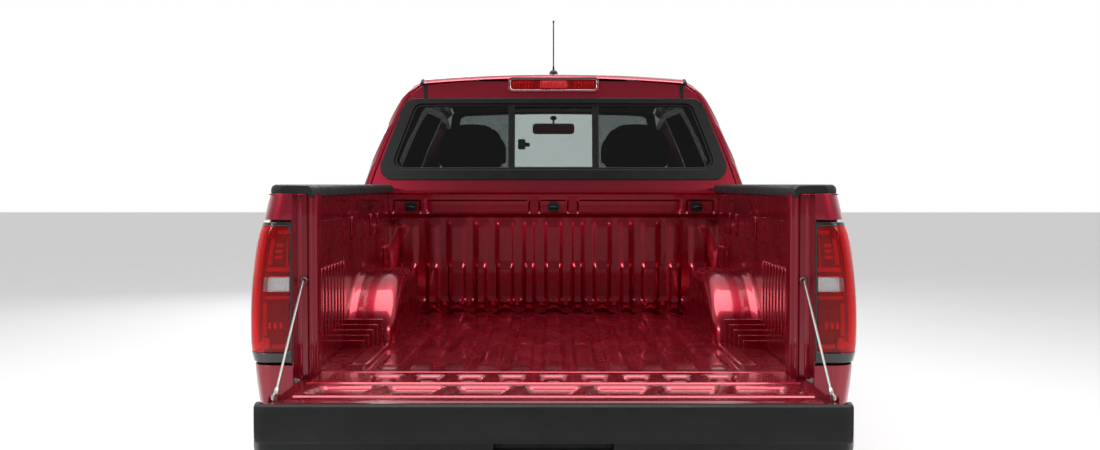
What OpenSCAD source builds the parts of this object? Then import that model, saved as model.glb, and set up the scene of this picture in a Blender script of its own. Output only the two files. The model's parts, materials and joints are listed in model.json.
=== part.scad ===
// Crew-cab pickup truck with a short load bed and the tailgate let down.
// +X points forward, +Y to the driver's left, +Z up. The origin is on the ground, at the middle of
// the box that holds the truck. Stations (names that start with s_) count backwards from the front bumper.

/* [Overall] */
// Distance between the axles
wheelbase = 3258; // [3150:1:3900]
// Front bumper to front axle
front_overhang = 945; // [920:1:1000]
// Rear axle to the closed tailgate's outer face
rear_overhang = 1067; // [1040:1:1250]
// Width across the doors
body_w = 1850; // [1820:1:1900]
// Roof height above the ground
roof_z = 1795; // [1780:1:1850]
// Distance between the wheels' middle planes
track = 1586; // [1560:1:1600]

/* [Cab] */
// Front axle to the front door's front edge
door_setback = 555; // [540:1:600]
// Length of a front door
front_door_len = 1036; // [1000:1:1100]
// Length of the quarter panel behind the rear door
quarter_len = 222; // [200:1:260]
// Height of the belt line, where the windows start
belt_z = 1240; // [1220:1:1250]
// Height of the cab's rocker above the ground
rocker_z = 400; // [380:1:420]
// Thickness of the cab's side structure
side_t = 115; // [100:1:125]
// Thickness of a door's outer frame
door_skin_t = 35; // [25:1:40]
// Thickness of a whole door below the glass
door_t = 108; // [90:1:110]
// Step between a door's outer frame and its inner box
door_step = 35; // [30:1:45]
// Gap round each moving panel
panel_gap = 8; // [6:0.5:10]
// Thickness of the window glass
glass_t = 5; // [4:0.5:6]
// Thickness of the roof with its headliner
roof_t = 45; // [35:1:60]
// Thickness of a door's outer skin, which overhangs its frame
skin_t = 10; // [8:1:12]

/* [Bed] */
// Outer length of the load bed
bed_len = 1680; // [1640:1:1860]
// Gap between cab and bed
cab_gap = 30; // [20:1:50]
// Top of the bed floor
floor_z = 715; // [700:1:740]
// Top of the bed's rail caps
rail_z = 1275; // [1260:1:1300]
// Height of a rail cap
cap_t = 28; // [20:1:35]
// Clear width between the bed's inner walls
bed_inner_w = 1468; // [1440:1:1490]
// Clear width between the wheel housings
housing_gap_w = 1127; // [1100:1:1150]
// Width of the opening at the tail
tail_opening_w = 1418; // [1400:1:1430]
// Thickness of the bed's sheet walls
sheet_t = 12; // [8:1:16]
// Number of ribs along the floor
floor_ribs = 13; // [9:2:15]

/* [Tailgate] */
// Width of the tailgate
gate_w = 1518; // [1490:1:1524]
// Height of the tailgate when it is shut
gate_h = 545; // [520:1:560]
// Thickness of the tailgate
gate_t = 60; // [50:1:66]
// Depth of the black cap along the tailgate's top edge
gate_cap_t = 97; // [80:1:110]

/* [Wheels] */
// Outer diameter of a tyre
tyre_d = 762; // [740:1:790]
// Width of a tyre
tyre_w = 255; // [235:1:265]
// Diameter of a rim at its bead seats
rim_d = 432; // [406:1:460]
// Radius of a wheel arch
arch_r = 440; // [435:1:460]
// Bulge of the body side round each arch
flare_out = 18; // [0:1:25]

/* [Hitch] */
// Clear inside of the square hitch receiver
receiver_in = 51; // [50:0.5:63]
// Wall of the receiver
receiver_wall = 6.5; // [5:0.5:8]
// Radius of the hitch pin hole
pin_hole_r = 8; // [7:0.5:9]

/* [Hidden] */

// Stations along the truck
s_fa = front_overhang;
s_ra = s_fa + wheelbase;
s_tail = s_ra + rear_overhang;
s_bed = s_tail - bed_len;
s_cab = s_bed - cab_gap;
s_cowl = s_fa + 385;
s_door = s_fa + door_setback;
s_mid = s_door + front_door_len;
s_door_end = s_cab - quarter_len;
s_peak = s_cowl + 1320;
s_header = s_cowl + 705;

// Heights and widths that follow from the sizes above
wheel_z = tyre_d / 2;
half_w = body_w / 2;
wide_z = 850;
belt_half = half_w - 53;
cant_z = roof_z - 141;
cant_rise = cant_z - belt_z;
cant_half = belt_half - 168;
ditch_ref_z = cant_z + 90;
ditch_y = cant_half - 104;
roof_crown = 26;
k_low = (half_w - belt_half) / pow(belt_z - wide_z, 2);
lean = 0.30;
k_mid = (168 - lean * cant_rise) / pow(cant_rise, 2);
lean_cant = lean + 2 * k_mid * cant_rise;
k_top = (110 - lean_cant * 90) / pow(90, 2);
gate_clear = 5;
hinge_in = 30;
hinge_up = 24;
s_hinge = s_tail - gate_t + hinge_in;
z_hinge = floor_z - hinge_in;
gate_reach = gate_h - hinge_up;
x_front = (s_hinge + gate_reach) / 2;

function X(s) = x_front - s;
function lerp(a, b, t) = a + (b - a) * t;
function clamp(v, lo, hi) = max(lo, min(hi, v));

// ---- Body surfaces -----------------------------------------------------------------------------
// Height of the roof at a station and a distance from the centre plane
function roof_line(s) = roof_z - (s > s_peak ? 14 * pow((s - s_peak) / 790, 2) : 55 * pow((s_peak - s) / 570, 2));
function roof_at(s, y) = roof_line(s) - roof_crown * pow(y / 600, 2);
// Half width of the body's section at a height, for the section through the roof's reference station
function section_low(z) = half_w - k_low * pow(z - wide_z, 2);
function section_high(z) = z < cant_z
  ? belt_half - lean * (z - belt_z) - k_mid * pow(z - belt_z, 2)
  : cant_half - lean_cant * (z - cant_z) - k_top * pow(z - cant_z, 2);
// The front tapers as a superellipse in plan, and the tail by a shallow parabola
function nose(z) = z > 650 ? 95 * pow((z - 650) / 350, 1.6) : z < 450 ? 80 * pow((450 - z) / 130, 2) : 0;
function nose_taper(s, z) = s >= s_fa ? 1 : pow(max(0, 1 - pow((s_fa - s) / (s_fa - nose(z)), 5)), 0.4);
function tail_taper(s) = s < s_ra ? 0 : 25 * pow((s - s_ra) / 1067, 2);
function bulge(s, z, s0) = flare_out * exp(-pow((norm([s - s0, z - wheel_z]) - arch_r) / 55, 2));
function flare(s, z) = z < wheel_z - 60 ? 0 : bulge(s, z, s_fa) + bulge(s, z, s_ra);
function low_side(s, z) = section_low(z) * nose_taper(s, z) - tail_taper(s) + flare(s, z);
function cab_z(s, z) = belt_z + (z - belt_z) * (ditch_ref_z - belt_z) / (roof_at(s, ditch_y) - belt_z);
function cab_side(s, z) = z < belt_z ? low_side(s, z) : section_high(cab_z(s, z));
// The hood, which the fenders' tops follow
function hood_line(s) = lerp(1000, 1140, 1 - pow((s_cowl - s) / (s_cowl - 95), 2));
function hood_edge(y) = 95 + 150 * pow(abs(y) / 750, 2.5);
function hood_at(s, y) = hood_line(s) - 30 * pow(y / 700, 2) - 45 * pow(clamp((100 + hood_edge(y) - s) / 100, 0, 1), 2);
function hood_half(s) = 692 - 200 * pow(clamp((560 - s) / 420, 0, 1), 2);
// The back of the cab, the windshield and the front face
function back_s(z) = z < belt_z ? s_cab : s_cab - 100 * (z - belt_z) / (roof_z - belt_z);
function back_at(y, z) = back_s(z) - 30 * pow(y / 800, 2);
shield_base_half = 742;
shield_top_half = 596;
function shield(u, v) =
  let (s = lerp(s_cowl + 72 * u * u, s_header + 52 * u * u, v), y = u * lerp(shield_base_half, shield_top_half, v))
  [X(s - 14 * 4 * v * (1 - v)), y,
   lerp(1140 - 8 * u * u, roof_at(s_header, 0) - 4 - 22 * u * u, v) + 14 * 4 * v * (1 - v)];
function front_face(a, z) =
  [X(s_fa - (s_fa - nose(z)) * pow(cos(a), 0.4)), sign(a) * section_low(z) * pow(abs(sin(a)), 0.8), z];

// ---- Building blocks -------------------------------------------------------------------------------
// Even steps from a to b, and knots that fall between a and b with the two ends added
function steps(a, b, n) = [for (i = [0:n]) a + (b - a) * i / n];
function between(knots, a, b) = concat([a], [for (k = knots) if (k > a + 1 && k < b - 1) k], [b]);
// A closed slab between two grids of points, outer(u, v) and inner(u, v), where u x v points outwards
module slab(outer, inner, us, vs) {
  nu = len(us) - 1;
  nv = len(vs) - 1;
  n = len(us) * len(vs);
  points = concat([for (a = us) for (b = vs) outer(a, b)], [for (a = us) for (b = vs) inner(a, b)]);
  function at(i, j) = i * (nv + 1) + j;
  function quad(a, b, c, d) = [[a, b, c], [a, c, d]];
  polyhedron(points, concat(
    [for (i = [0:nu - 1]) for (j = [0:nv - 1]) each quad(at(i, j), at(i, j + 1), at(i + 1, j + 1), at(i + 1, j))],
    [for (i = [0:nu - 1]) for (j = [0:nv - 1])
      each quad(n + at(i, j), n + at(i + 1, j), n + at(i + 1, j + 1), n + at(i, j + 1))],
    [for (i = [0:nu - 1]) each quad(at(i, 0), at(i + 1, 0), n + at(i + 1, 0), n + at(i, 0))],
    [for (i = [0:nu - 1]) each quad(at(i + 1, nv), at(i, nv), n + at(i, nv), n + at(i + 1, nv))],
    [for (j = [0:nv - 1]) each quad(at(0, j + 1), at(0, j), n + at(0, j), n + at(0, j + 1))],
    [for (j = [0:nv - 1]) each quad(at(nu, j), at(nu, j + 1), n + at(nu, j + 1), n + at(nu, j))]));
}
// A slab under the cab's or the bed's side surface, from depth a to depth b below it
cab_knots_s = steps(s_cowl - 60, s_cab + 100, 12);
cab_top = roof_z - 15;
cab_knots_z = concat(steps(350, belt_z - 50, 6),
  [for (f = [0, 30, 60, 87, 110, 127, 138, 148, 157, 163, 168, 172, 176, 180]) lerp(belt_z, cab_top, f / 180)]);
module cab_slab(s0, s1, z0, z1, a, b)
  slab(function(s, z) [X(s), cab_side(s, z) - a, z], function(s, z) [X(s), cab_side(s, z) - b, z],
    between(cab_knots_s, s0, s1), between(cab_knots_z, z0, z1));
bed_knots_s = [for (a = [-90:15:90]) s_ra + 560 * a / 90, s_bed + 60, s_tail - 300, s_tail - 200, s_tail - 100, s_tail - 50];
bed_knots_z = steps(480, 1280, 12);
module low_slab(s0, s1, z0, z1, a, b)
  slab(function(s, z) [X(s), low_side(s, z) - a, z], function(s, z) [X(s), low_side(s, z) - b, z],
    between(sorted(bed_knots_s), s0, s1), between(bed_knots_z, z0, z1));
function sorted(v) = len(v) < 2 ? v : let (p = v[0], r = [for (i = [1:len(v) - 1]) v[i]])
  concat(sorted([for (k = r) if (k <= p) k]), [p], sorted([for (k = r) if (k > p) k]));
// Prisms through an outline drawn in side view (station, height), in front view or in plan
module through_side(y0 = 0, y1 = 1100)
  translate([x_front, y1, 0]) rotate([90, 0, 0]) linear_extrude(y1 - y0) mirror([1, 0]) children();
module through_front(s0, s1) translate([X(s1), 0, 0]) rotate([90, 0, 90]) linear_extrude(s1 - s0) children();
module through_plan(z0, z1) translate([x_front, 0, z0]) linear_extrude(z1 - z0) mirror([1, 0]) children();
// A box between two corners given as station, width and height
module block(s, y, z) translate([X(s[1]), y[0], z[0]]) cube([s[1] - s[0], y[1] - y[0], z[1] - z[0]]);
module cylinder_y(s, y, z, r) translate([X(s), y[0], z]) rotate([-90, 0, 0]) cylinder(r = r, h = y[1] - y[0]);
module cylinder_x(s, y, z, r) translate([X(s[1]), y, z]) rotate([0, 90, 0]) cylinder(r = r, h = s[1] - s[0]);
module both_sides() { children(); mirror([0, 1, 0]) children(); }
module soft(r) offset(r = r, $fn = 20) offset(delta = -r) children();
// A rod between two points
module rod(a, b, r) {
  d = b - a;
  translate(a) rotate([0, acos(d[2] / norm(d)), atan2(d[1], d[0])]) cylinder(r = r, h = norm(d));
}
function P(s, y, z) = [X(s), y, z];

// ---- Outlines in side view ---------------------------------------------------------------------------
door_bottom = 455;
module front_door_outline() soft(18) polygon([
  [s_door, door_bottom], [s_door, 1120], [s_door + 66, 1190], [s_door + 640, roof_z - 135],
  [s_door + 700, roof_z - 103], [s_mid - 24, roof_z - 93], [s_mid, belt_z], [s_mid, door_bottom]]);
module front_window_outline() soft(14) polygon([
  [s_door + 160, belt_z + 24], [s_door + 652, roof_z - 165], [s_door + 712, roof_z - 145],
  [s_mid - 66, roof_z - 137], [s_mid - 48, belt_z + 30]]);
s_rear_door = s_mid + panel_gap;
module rear_door_outline() soft(18) polygon([
  [s_rear_door, door_bottom], [s_rear_door, belt_z], [s_rear_door - 24, roof_z - 93],
  [s_door_end - 110, roof_z - 105], [s_door_end - 48, roof_z - 185], [s_door_end, belt_z], [s_door_end, door_bottom]]);
module rear_window_outline() soft(14) polygon([
  [s_rear_door + 48, belt_z + 30], [s_rear_door + 28, roof_z - 139],
  [s_door_end - 135, roof_z - 149], [s_door_end - 96, roof_z - 205],
  [s_door_end - 56, belt_z + 40]]);
module cab_side_outline() polygon(concat(
  [[s_cab + 60, rocker_z + 60], [s_cab + 60, roof_z + 5], [s_header + 50, roof_z + 5],
   [s_header + 50, roof_at(s_header + 50, ditch_y)], [s_cowl + 70, 1140], [s_cowl + 70, 1000]],
  [[s_door - 40, 1000], [s_door - 40, rocker_z], [s_cab - 40, rocker_z]]));

// ---- Chassis ---------------------------------------------------------------------------------------
rail_in = 350;
rail_w = 75;
rail_mid_top = 465;
rail_h = 125;
rail_rear_top = 640;
module rail_outline() polygon([
  [250, 560], [s_cowl - 180, 560], [s_cowl + 60, rail_mid_top], [s_cab + 10, rail_mid_top],
  [s_ra - 400, rail_rear_top], [s_tail - 60, rail_rear_top], [s_tail - 60, 520], [s_ra + 420, 520],
  [s_ra - 360, 520], [s_cab + 40, rail_mid_top - rail_h], [s_cowl + 90, rail_mid_top - rail_h],
  [s_cowl - 150, 440], [250, 440]]);
gearbox_low = 385;
cross_members = [[300, 460, 60, 80], [s_cowl + 325, gearbox_low - 52.2, 90, 40], [s_cowl + 1250, rail_mid_top - rail_h, 90, 60],
  [s_ra - 480, 560, 70, 60], [s_ra + 330, 545, 70, 70], [s_ra + 590, 545, 60, 70], [s_tail - 130, 530, 65, 90]];
module frame_rails() color("black") {
  both_sides() through_side(rail_in, rail_in + rail_w) rail_outline();
  for (c = cross_members) block([c[0], c[0] + c[2]], [-rail_in - 1, rail_in + 1], [c[1], c[1] + c[3]]);
  front_carrier();
  // cab mounts between the rails and the floor
  both_sides() for (s = [s_door + 150, s_mid + 60, s_cab - 250])
    translate([X(s), rail_in + rail_w / 2, rail_mid_top - 1]) cylinder(r = 32, h = cab_floor_z - rail_mid_top + 1);
}
cab_floor_z = 480;
floor_t = 25;
tunnel_half = 150;
floor_half = section_low(cab_floor_z) - side_t - 2.2;
s_firewall = s_fa + 465;
module cab_section(inset, z0, z1) {
  zs = [for (i = [0:8]) lerp(z0, z1, i / 8)];
  polygon(concat([for (z = zs) [section_low(z) - inset, z]], [for (i = [8:-1:0]) [-section_low(zs[i]) + inset, zs[i]]]));
}
module tunnel(half, top) through_front(s_firewall - 1, s_cab) polygon([[-half - 26, cab_floor_z - 1],
  [-half, top], [half, top], [half + 26, cab_floor_z - 1]]);
module cab_floor() color("dimgray") difference() {
  union() {
    block([s_firewall, s_cab], [-floor_half, floor_half], [cab_floor_z, cab_floor_z + floor_t]);
    intersection() {
      tunnel(tunnel_half, 640);
      block([s_firewall, s_cab], [-300, 300], [cab_floor_z, 640]);
    }
    // firewall, which stands on the floor's front edge
    through_front(s_firewall, s_firewall + 30) cab_section(side_t + 2.5, cab_floor_z + floor_t - 1, 1090);
    // the step that the rear seat bolts to
    block([s_cab - 420, s_cab - 380], [-floor_half + 40, floor_half - 40], [cab_floor_z + floor_t - 1, 640]);
  }
  tunnel(tunnel_half - 20, 622);
  back_volume(-200, back_t + 0.5);
}

// ---- Cab ---------------------------------------------------------------------------------------------
module roof_volume(t, y) slab(function(w, s) [X(s), w, roof_at(s, w) + (t > 100 ? 90 : 0)],
  function(w, s) [X(s), w, roof_at(s, w) - (t > 100 ? roof_t + 1 : t)], steps(-y, y, 8), steps(s_header - 40, s_cab + 60, 14));
module back_volume(a, b) slab(function(z, y) [X(back_at(y, z) - a), y, z], function(z, y) [X(back_at(y, z) - b), y, z],
  steps(440, roof_z - 5, 10), steps(-960, 960, 12));
back_t = 60;
module cab_sides() color("crimson") both_sides() difference() {
  intersection() {
    cab_slab(s_cowl - 20, s_cab + 60, rocker_z, cab_top, 0, side_t);
    through_side() cab_side_outline();
  }
  roof_volume(200, ditch_y + 6);
  back_volume(-200, back_t);
  cab_slab(s_cowl - 40, s_door - panel_gap + 1, rocker_z - 10, 1001, -30, fender_t + 1.4);
  // rebate for the windshield
  slab(function(u, v) shield(u, v) + [6, 0, 8], function(u, v) shield(u, v) - [9, 0, 11], steps(-0.98, 0.98, 8), steps(0, 0.995, 4));
  for (d = [0, 1]) {
    through_side(0, 1000) offset(delta = panel_gap - door_step) door_outline(d);
    intersection() {
      through_side() offset(delta = panel_gap) door_outline(d);
      cab_slab(s_cowl - 40, s_cab + 70, rocker_z - 10, cab_top + 5, -20, door_skin_t + 9);
    }
  }
}
module door_outline(d) { if (d == 0) front_door_outline(); else rear_door_outline(); }
module window_outline(d) { if (d == 0) front_window_outline(); else rear_window_outline(); }
window_half_low = 742;
window_half_high = 660;
module back_window_outline() soft(30)
  polygon([[-window_half_low, belt_z + 78], [window_half_low, belt_z + 78],
    [window_half_high, roof_z - 145], [-window_half_high, roof_z - 145]]);
module brake_lamp_block(gap)
  block([s_cab - 118 - gap, s_cab - 78 + 40 * gap], [-208 - gap, 208 + gap], [roof_z - 100 - gap, roof_z - 32 + gap]);
module cab_back() color("crimson") difference() {
  intersection() {
    back_volume(0, back_t);
    slab(function(z, v) [v, section_back(z), z], function(z, v) [v, -section_back(z), z],
      steps(cab_floor_z, roof_z - 20, 18), [X(s_cab - 300), X(s_cab + 100)]);
  }
  roof_volume(200, 1000);
  through_front(s_cab - 300, s_cab + 100) back_window_outline();
  brake_lamp_block(0.5);
}
function section_back(z) = cab_side(s_cab - 80, z) - 2;
module roof_panel() color("crimson") difference() {
  intersection() {
    roof_volume(roof_t, ditch_y - 8);
    slab(function(w, z) [X(s_header + 16 + 52 * pow(w / shield_top_half, 2)), w, z],
      function(w, z) [X(s_cab - 105), w, z], steps(-620, 620, 12), [roof_z - 295, roof_z + 105]);
  }
  brake_lamp_block(0.5);
}
module cowl() color("black") {
  // black panel between the hood and the windshield, carried by the firewall
  slab(function(w, t) [X(lerp(s_cowl - 55 + 60 * pow(w / 742, 2), s_cowl - 8 + 72 * pow(w / 742, 2), t)), w,
      lerp(1108, 1128, t) - 20 * pow(w / 742, 2)],
    function(w, t) [X(lerp(s_cowl - 55 + 60 * pow(w / 742, 2), s_cowl - 8 + 72 * pow(w / 742, 2), t)), w,
      lerp(1078, 1090, t) - 20 * pow(w / 742, 2)], steps(-690, 690, 12), [0, 0.5, 1]);
  block([s_cowl - 20, s_firewall - 0.3], [-650, 650], [1050, 1073]);
  block([s_firewall - 30, s_firewall], [-600, 600], [980, 1060]);
}

// ---- Front end ---------------------------------------------------------------------------------------
fender_t = 12;
fender_r = 70;
function fender_top(s) = hood_at(s, hood_half(s) + panel_gap);
function fender_point(s, v, d) =
  let (top = fender_top(s), za = top - fender_r, w = low_side(s, za), r = fender_r - d, yi = hood_half(s) + panel_gap)
  v < 0.55 ? [X(s), low_side(s, lerp(430, za, v / 0.55)) - d, lerp(430, za, v / 0.55)]
  : v < 0.85 ? let (f = 90 * (v - 0.55) / 0.30) [X(s), w - fender_r + r * cos(f), za + r * sin(f)]
  : [X(s), lerp(w - fender_r, yi, (v - 0.85) / 0.15), top - d];
fender_s = concat([170, 185, 205, 230, 260, 300, 350, 410],
  [for (a = [-90:15:90]) s_fa + 470 * a / 90], [s_door - panel_gap]);
fender_v = concat(steps(0, 0.55, 8), steps(0.61, 0.85, 4), [1]);
module front_fenders() color("crimson") both_sides() difference() {
  slab(function(s, v) fender_point(s, v, 0), function(s, v) fender_point(s, v, fender_t),
    fender_s, fender_v);
  translate([X(s_fa), 0, wheel_z]) rotate([-90, 0, 0]) cylinder(r = arch_r, h = 1000);
  through_side() polygon([[100, 300], [322, 300], [322, 796], [290, 796], [290, 912], [100, 912]]);
  through_side() polygon([[s_cowl + 64, 1300], [s_cowl + 64, 995], [s_door - 34, 995], [s_door + 50, 995], [s_door + 50, 1300]]);
}
module front_carrier() {
  // panel behind the grille that carries the lamps and the bumper
  block([300, 345], [-640, 640], [540, 960]);
  block([240, 301], [-440, 440], [600, 640]);
  both_sides() block([301, 420], [rail_in, rail_in + rail_w], [559, 640]);
  both_sides() block([300, 330], [620, 740], [700, 940]);
}
module fascia(a0, a1, z0, z1, na, nz, t) slab(function(a, z) front_face(a, z),
  function(a, z) front_face(a, z) - [t * cos(a) + t * 0.2, t * sin(a), 0], steps(a0, a1, na), steps(z0, z1, nz));
bumper_top = 690;
module front_bumper() color("crimson") difference() {
  slab(function(a, z) front_face(a, z), function(a, z) front_face(a, z) - [40 * cos(a) + 8, 40 * sin(a), 0],
    steps(-66, 66, 24), [330, 390, 450, 650, 715, 790]);
  through_front(-50, 900) soft(20) polygon([[-490, bumper_top + 6], [490, bumper_top + 6], [490, 900], [-490, 900]]);
  through_front(-50, 300) soft(15) polygon([[-420, 430], [420, 430], [470, 560], [-470, 560]]);
  both_sides() translate([X(s_fa), 400, wheel_z]) rotate([-90, 0, 0]) cylinder(r = arch_r, h = 700);
}
module grille() color("black") {
  difference() {
    fascia(-26.5, 26.5, bumper_top + 8, 905, 12, 4, 45);
    through_front(-50, 260) soft(12) polygon([[-440, bumper_top + 36], [440, bumper_top + 36], [440, 880], [-440, 880]]);
  }
  for (z = [768, 812, 856]) block([nose(z) + 14, 90], [-445, 445], [z, z + 12]);
  both_sides() block([60, 299.7], [200, 230], [bumper_top + 30, 882]);
}
module headlamps() color("white") both_sides()
  slab(function(a, z) front_face(a, z), function(a, z) front_face(a, z) - [60 * cos(a) + 20, 60 * sin(a), 0],
    steps(27.5, 61.5, 8), steps(796, 905, 3));
hood_s = concat([90, 130, 170, 210, 250, 300, 360], steps(480, s_cowl - 20, 6));
module hood() color("crimson") intersection() {
  slab(function(w, s) [X(s), w, hood_at(s, w)], function(w, s) [X(s), w, hood_at(s, w) - 28],
    steps(-720, 720, 12), hood_s);
  slab(function(w, z) [X(hood_edge(w) + 4), w, z], function(w, z) [X(s_cowl - 62 + 60 * pow(w / 742, 2)), w, z],
    steps(-705, 705, 14), [880, 1200]);
  through_plan(880, 1200) polygon(concat([[0, -hood_half(0)]], [for (s = hood_s) [s, -hood_half(s)]],
    [for (i = [len(hood_s) - 1:-1:0]) [hood_s[i], hood_half(hood_s[i])]], [[0, hood_half(0)]]));
}

// ---- Glass ---------------------------------------------------------------------------------------------
module windshield() color("lightblue", 0.4)
  slab(function(u, v) shield(u, v), function(u, v) shield(u, v) - [4, 0, 5], steps(-0.972, 0.972, 8), steps(0.005, 0.985, 4));
module rear_window() color("lightblue", 0.4) intersection() {
  back_volume(12, 18);
  through_front(s_cab - 300, s_cab + 100) offset(delta = -0.5) back_window_outline();
}

// ---- Load bed ------------------------------------------------------------------------------------------
wall_y = bed_inner_w / 2;
housing_y = housing_gap_w / 2;
opening_y = tail_opening_w / 2;
s_bed_in = s_bed + 30;
s_post = s_tail - gate_t - gate_clear - 50;
s_floor_end = s_tail - gate_t - gate_clear;
bed_top = rail_z - cap_t;
housing_r = 470;
housing_top = 945;
module housing_outline(d) intersection() {
  translate([s_ra, wheel_z]) circle(r = housing_r + 110 - d, $fn = 64);
  translate([s_ra - 420 + d, floor_z - 40]) square([840 - 2 * d, housing_top - d - floor_z + 40]);
}
module bed_floor() color("crimson") difference() {
  union() {
    block([s_bed_in + 1, s_floor_end], [-wall_y + 0.5, wall_y - 0.5], [floor_z - 20, floor_z - 9]);
    pitch = (bed_inner_w - 150) / floor_ribs;
    for (i = [0:floor_ribs - 1])
      block([s_bed_in + 40, s_floor_end - 45], [(i - (floor_ribs - 1) / 2) * pitch - pitch * 0.32, (i - (floor_ribs - 1) / 2) * pitch + pitch * 0.32],
        [floor_z - 10, floor_z]);
    for (s = [s_bed_in + 60, s_ra - 560, s_ra - 100, s_ra + 440, s_floor_end - 90])
      block([s, s + 70], [-housing_y + 10, housing_y - 10], [rail_rear_top, floor_z - 19]);
  }
  both_sides() through_side(housing_y - 0.5, 900) housing_outline(-0.5);
  both_sides() block([s_post - 0.5, s_tail], [opening_y - 0.5, 900], [600, 800]);
}
module bed_side_outline() polygon([[s_bed, 520], [s_bed, bed_top], [s_tail - 8, bed_top], [s_tail - 8, 560], [s_tail - 100, 520]]);
module tail_plan() through_plan(400, 1400)
  offset(r = 60, $fn = 48) offset(delta = -60) polygon([[s_bed - 200, -1000], [s_tail, -tail_half], [s_tail, tail_half], [s_bed - 200, 1000]]);
tail_half = half_w - 24;
lamp_z0 = 745;
lamp_z1 = 1165;
lamp_y = gate_w / 2 + 12;
module lamp_outline() soft(25) polygon([[s_tail - 175, lamp_z0], [s_tail - 150, lamp_z1], [s_tail + 40, lamp_z1], [s_tail + 40, lamp_z0]]);
module bed_sides() color("crimson") both_sides() difference() {
  union() {
    // outer panel and its turned-in top
    intersection() {
      low_slab(s_bed, s_tail, 500, bed_top + 20, 0, sheet_t);
      through_side() bed_side_outline();
    }
    // top rail, inner wall and wheel housing
    intersection() {
      low_slab(s_bed, s_tail, 1180, bed_top + 20, sheet_t - 1, 400);
      block([s_bed, s_tail - 8], [wall_y, 950], [bed_top - 40, bed_top]);
    }
    block([s_bed, s_post + 2], [wall_y, wall_y + sheet_t], [floor_z - 40, bed_top - 39]);
    difference() {
      through_side(housing_y, wall_y + 1) housing_outline(0);
      through_side(housing_y - 1 + sheet_t, wall_y + 20) housing_outline(sheet_t);
    }
    // tail post with the flange beside the opening
    intersection() {
      low_slab(s_post - 80, s_tail, 560, bed_top + 20, sheet_t - 1, 400);
      union() {
        block([s_post, s_floor_end], [opening_y, lamp_y + 2], [floor_z - 40, bed_top]);
        block([s_post, s_tail - 8], [lamp_y, 950], [600, bed_top]);
      }
    }
  }
  through_side(wall_y + 1, 1100) translate([s_ra, wheel_z]) circle(r = arch_r, $fn = 96);
  through_side(wall_y - 10, wall_y + sheet_t + 1) translate([0, 0]) housing_outline(sheet_t);
  through_side(lamp_y - 1, 1100) offset(delta = 1) lamp_outline();
  tail_corner_cut();
}
module tail_corner_cut() difference() {
  block([s_tail - 70, s_tail + 20], [700, 1000], [400, 1400]);
  through_plan(390, 1410) hull() {
    translate([s_tail - 60, 700]) square([60, 1]);
    translate([s_tail - 80, 700]) square([1, 300]);
    translate([s_tail - 60, tail_half - 58]) circle(r = 60, $fn = 32);
  }
}
module bed_front_wall() color("crimson") {
  block([s_bed, s_bed_in], [-wall_y + 0.5, wall_y - 0.5], [bed_top - 115, bed_top]);
  block([s_bed, s_bed + 12], [-wall_y + 0.5, wall_y - 0.5], [floor_z - 40, bed_top - 114]);
  for (i = [-6:6]) block([s_bed + 11, s_bed_in - 8], [i * 108 - 30, i * 108 + 30], [floor_z + 30, bed_top - 170]);
  block([s_bed + 11, s_bed_in], [-wall_y + 0.5, wall_y - 0.5], [floor_z - 40, floor_z - 9]);
}
module bed_rail_caps() color("black") both_sides() difference() {
  intersection() {
    low_slab(s_bed, s_tail - 10, 1180, rail_z + 20, -2, 400);
    block([s_bed, s_tail - 10], [opening_y + 4, 950], [bed_top, rail_z]);
  }
  tail_corner_cut();
}
module tail_lamps() color("red") both_sides() difference() {
  intersection() {
    low_slab(s_tail - 200, s_tail + 5, 700, 1200, 0, 400);
    through_side(lamp_y, 1000) lamp_outline();
    block([s_tail - 180, s_tail - 2], [lamp_y, 1000], [700, 1200]);
  }
  block([s_tail - 400, s_post + 20], [0, low_side(s_tail - 100, 950) - 40], [700, 1300]);
  tail_corner_cut();
}
module high_brake_lamp() color("red") brake_lamp_block(0);
module rear_bumper() color("black") {
  difference() {
    intersection() {
      through_plan(455, 640) polygon([for (y = [-860:86:860]) [s_tail + 133 - 45 * pow(y / 860, 2), y],
        [s_tail - 190, 905], [s_tail - 190, -905]]);
      block([s_tail - 190, s_tail + 134], [-895, 895], [455, 640]);
    }
    through_plan(454, 606) polygon([[s_tail - 191, 860], [s_tail + 40, 850], [s_tail + 90, 400], [s_tail + 90, -400], [s_tail + 40, -850],
      [s_tail - 191, -860]]);
    block([s_tail - 191, s_tail + 4], [-906, 906], [516, 641]);
    block([s_tail - 191, s_tail + 140], [-receiver_in / 2 - receiver_wall - 2, receiver_in / 2 + receiver_wall + 2], [454, 467]);
  }
  both_sides() block([s_tail - 59.7, s_tail + 92], [rail_in, rail_in + rail_w], [530, 600]);
}
s_receiver = s_tail + 150;
module hitch_receiver() color("black") difference() {
  union() {
    block([s_tail - 60, s_receiver], [-receiver_in / 2 - receiver_wall, receiver_in / 2 + receiver_wall],
      [400, 400 + receiver_in + 2 * receiver_wall]);
    cylinder_y(s_tail - 30, [-rail_in - rail_w, rail_in + rail_w], 432, 30);
    both_sides() block([s_tail - 70, s_tail + 10], [rail_in + rail_w - 10, rail_in + rail_w], [420, 519.7]);
  }
  block([s_tail + 20, s_receiver + 1], [-receiver_in / 2, receiver_in / 2], [400 + receiver_wall, 400 + receiver_wall + receiver_in]);
  cylinder_y(s_receiver - 60, [-60, 60], 400 + receiver_wall + receiver_in / 2, pin_hole_r);
}

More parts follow.
